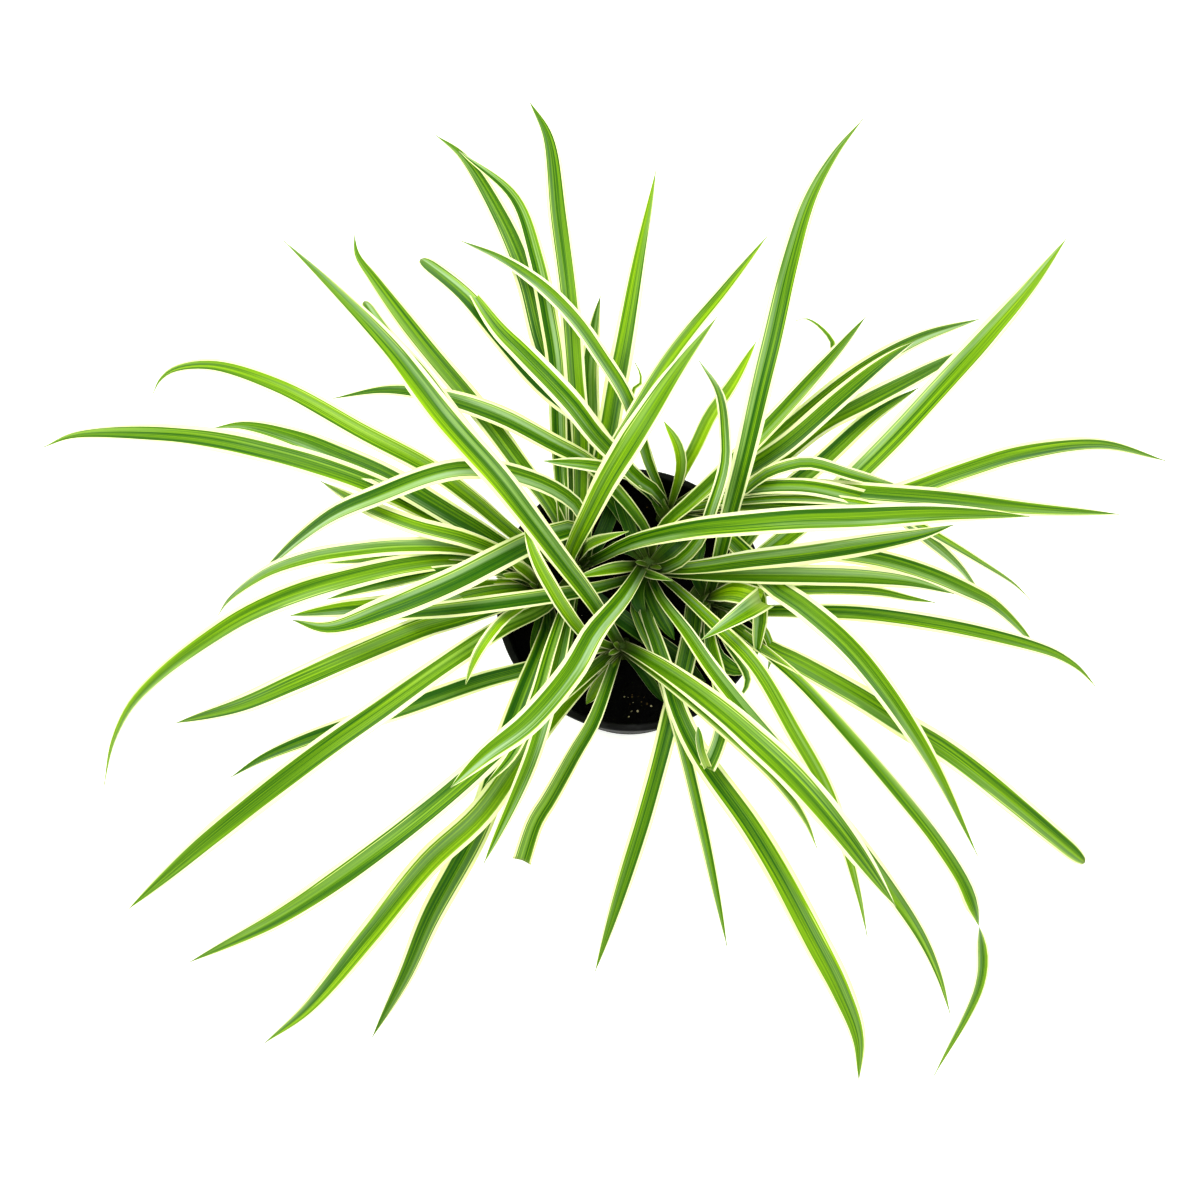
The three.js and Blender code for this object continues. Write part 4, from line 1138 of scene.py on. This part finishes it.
earth = mix(soil_tree, (soil_grain * soil_clouds * 2).step(0.35, 0.9), WET_SOIL, DRY_SOIL)
streaked_bark = mix(soil_tree, soil_grain.step(0.3, 0.7), BARK, DRY_SOIL)
earth = mix(soil_tree, bit.step(0.1, 0.5), earth, streaked_bark)
earth = mix(soil_tree, bit.step(0.6, 1.0), earth, PERLITE)
soil_bump = bump(soil_tree, 0.8, SOIL_RELIEF, soil_grain)
dullness = 0.75 + soil_grain * 0.25
connect(soil_tree, soil_shader, Base_Color=earth, Roughness=dullness, Normal=soil_bump)
soil_shader.inputs["Specular IOR Level"].default_value = SOIL_GLOSS
print("the soil's material has", len(soil_tree.nodes), "nodes")

# %% The shape of the soil
SOIL_RADIUS = 54.6 * MM
SOIL_ROUGHNESS = 0.8 * MM
SOIL_RINGS = 52
SOIL_STEPS = 240


def soil_height(x, y):
    """The height of the soil: the slow waves of the solid, and crumbs on them."""
    across, away = x / MM, y / MM
    waves = math.sin(0.31 * across + 1.7) * math.cos(0.27 * away)
    waves += 0.6 * math.sin(0.61 * away - 0.43 * across)
    crumbs = noise.noise(Vector((across, away, 0)) * 0.35)
    crumbs += 0.6 * noise.noise(Vector((across, away, 7)) * 0.9)
    return SOIL_LEVEL + SOIL_ROUGHNESS * (0.6 * waves + 0.9 * crumbs)


bm = bmesh.new()
bit_layer = bm.verts.layers.float.new("bit")
foot = wall(3 * MM) - WALL - 3 * MM
bottom = WALL + 0.4 * MM
soil_outline = [(0, bottom), (foot, bottom), (SOIL_RADIUS - 2 * MM, SOIL_LEVEL - 8 * MM)]
for ring in range(SOIL_RINGS, -1, -1):
    soil_outline.append((SOIL_RADIUS * ring / SOIL_RINGS, SOIL_LEVEL))
spin_outline(bm, soil_outline, SOIL_STEPS)
for vert in bm.verts:
    if vert.co.z > SOIL_LEVEL - MM:
        vert.co.z = soil_height(vert.co.x, vert.co.y)
print("the soil starts with", len(bm.verts), "vertices")

# %% [markdown]
# A crumb is a small squashed ball with a few faces. Most are soil. Some are bark or perlite,
# and a group of those lies in the open gap at the front.

# %% Crumbs, bark and perlite
CRUMBS = 900
PALE_BITS = 60
CRUMB_SIZE = (0.5, 1.5)  # radii in millimetres
PALE_SIZE = (0.25, 0.6)
FRONT_BITS = 18
FRONT_GAP = (4, -44)  # the middle of the gap at the front
FRONT_SPREAD = 4
FRONT_SIZE = (0.3, 0.7)
SQUASH = ((0.7, 1.4), (0.7, 1.3), (0.5, 0.9))  # least and most, along each axis
draw = random.Random(7)


def add_crumb(bm, x, y, size, kind):
    """Sinks one small rough ball into the soil."""
    squash = [size * draw.uniform(*limits) for limits in SQUASH]
    matrix = Matrix.Translation((x, y, soil_height(x, y) + 0.1 * size))
    matrix = matrix @ Matrix.Rotation(draw.uniform(0, 6.28), 4, "Z") @ Matrix.Diagonal((*squash, 1))
    ball = bmesh.ops.create_icosphere(bm, subdivisions=1, radius=1, matrix=matrix)["verts"]
    for vert in ball:
        vert[bit_layer] = kind


for number in range(CRUMBS + PALE_BITS):
    turn = draw.uniform(0, 2 * math.pi)
    away = (SOIL_RADIUS - 2 * MM) * math.sqrt(draw.random())
    kind = 0.0 if number < CRUMBS else draw.choice((0.5, 0.5, 1.0))
    size = draw.uniform(*(CRUMB_SIZE if kind == 0 else PALE_SIZE)) * MM
    add_crumb(bm, away * math.cos(turn), away * math.sin(turn), size, kind)
for _ in range(FRONT_BITS):
    x, y = (draw.gauss(middle, FRONT_SPREAD) * MM for middle in FRONT_GAP)
    add_crumb(bm, x, y, draw.uniform(*FRONT_SIZE) * MM, draw.choice((0.5, 1.0)))
soil = new_piece("soil_bed", bm, soil_material, "soil")

# %% [markdown]
# ## Floor and light
#
# The photograph is bright and nearly without shadow: white ground, light from all sides and a
# little more from above on the left. A white world gives most of it, and two wide lamps add
# the sheen on the blades.

# %% The floor
FLOOR_REACH = 8  # metres from its middle to each side
FLOOR_LOOK = {
    "Base Color": (0.94, 0.94, 0.93, 1),
    "Roughness": 0.9,
    "Emission Color": (1, 1, 1, 1),
    "Emission Strength": 0.45,
}

floor_material, _, floor_shader = new_material("floor")
for name, value in FLOOR_LOOK.items():
    floor_shader.inputs[name].default_value = value
bm = bmesh.new()
bmesh.ops.create_grid(bm, x_segments=1, y_segments=1, size=FLOOR_REACH)
floor = mesh_object("floor", bm)
floor.data.materials.append(floor_material)
print("the floor is", 2 * FLOOR_REACH, "m wide")

# %% The lights
WORLD_STRENGTH = 0.85

world = bpy.data.worlds.new("studio")
world.use_nodes = True
background = world.node_tree.nodes["Background"]
background.inputs["Color"].default_value = (1, 1, 1, 1)
background.inputs["Strength"].default_value = WORLD_STRENGTH
bpy.context.scene.world = world
bpy.context.scene.view_settings.view_transform = "Standard"
bpy.context.scene.view_settings.look = "Medium High Contrast"


def lamp(name, place, size, power):
    """A square lamp that points at the middle of the plant."""
    data = bpy.data.lights.new(name, "AREA")
    data.size = size
    data.energy = power
    made = add_object(name, data)
    made.location = place
    aim = Vector((0, 0, POT_HEIGHT)) - Vector(place)
    made.rotation_euler = aim.to_track_quat("-Z", "Y").to_euler()
    print(name, "lamp:", power, "W at", place)


lamp("key", (-0.7, 0.5, 1.5), 0.9, 14)
lamp("fill", (0.8, -0.2, 1.4), 1.2, 6)
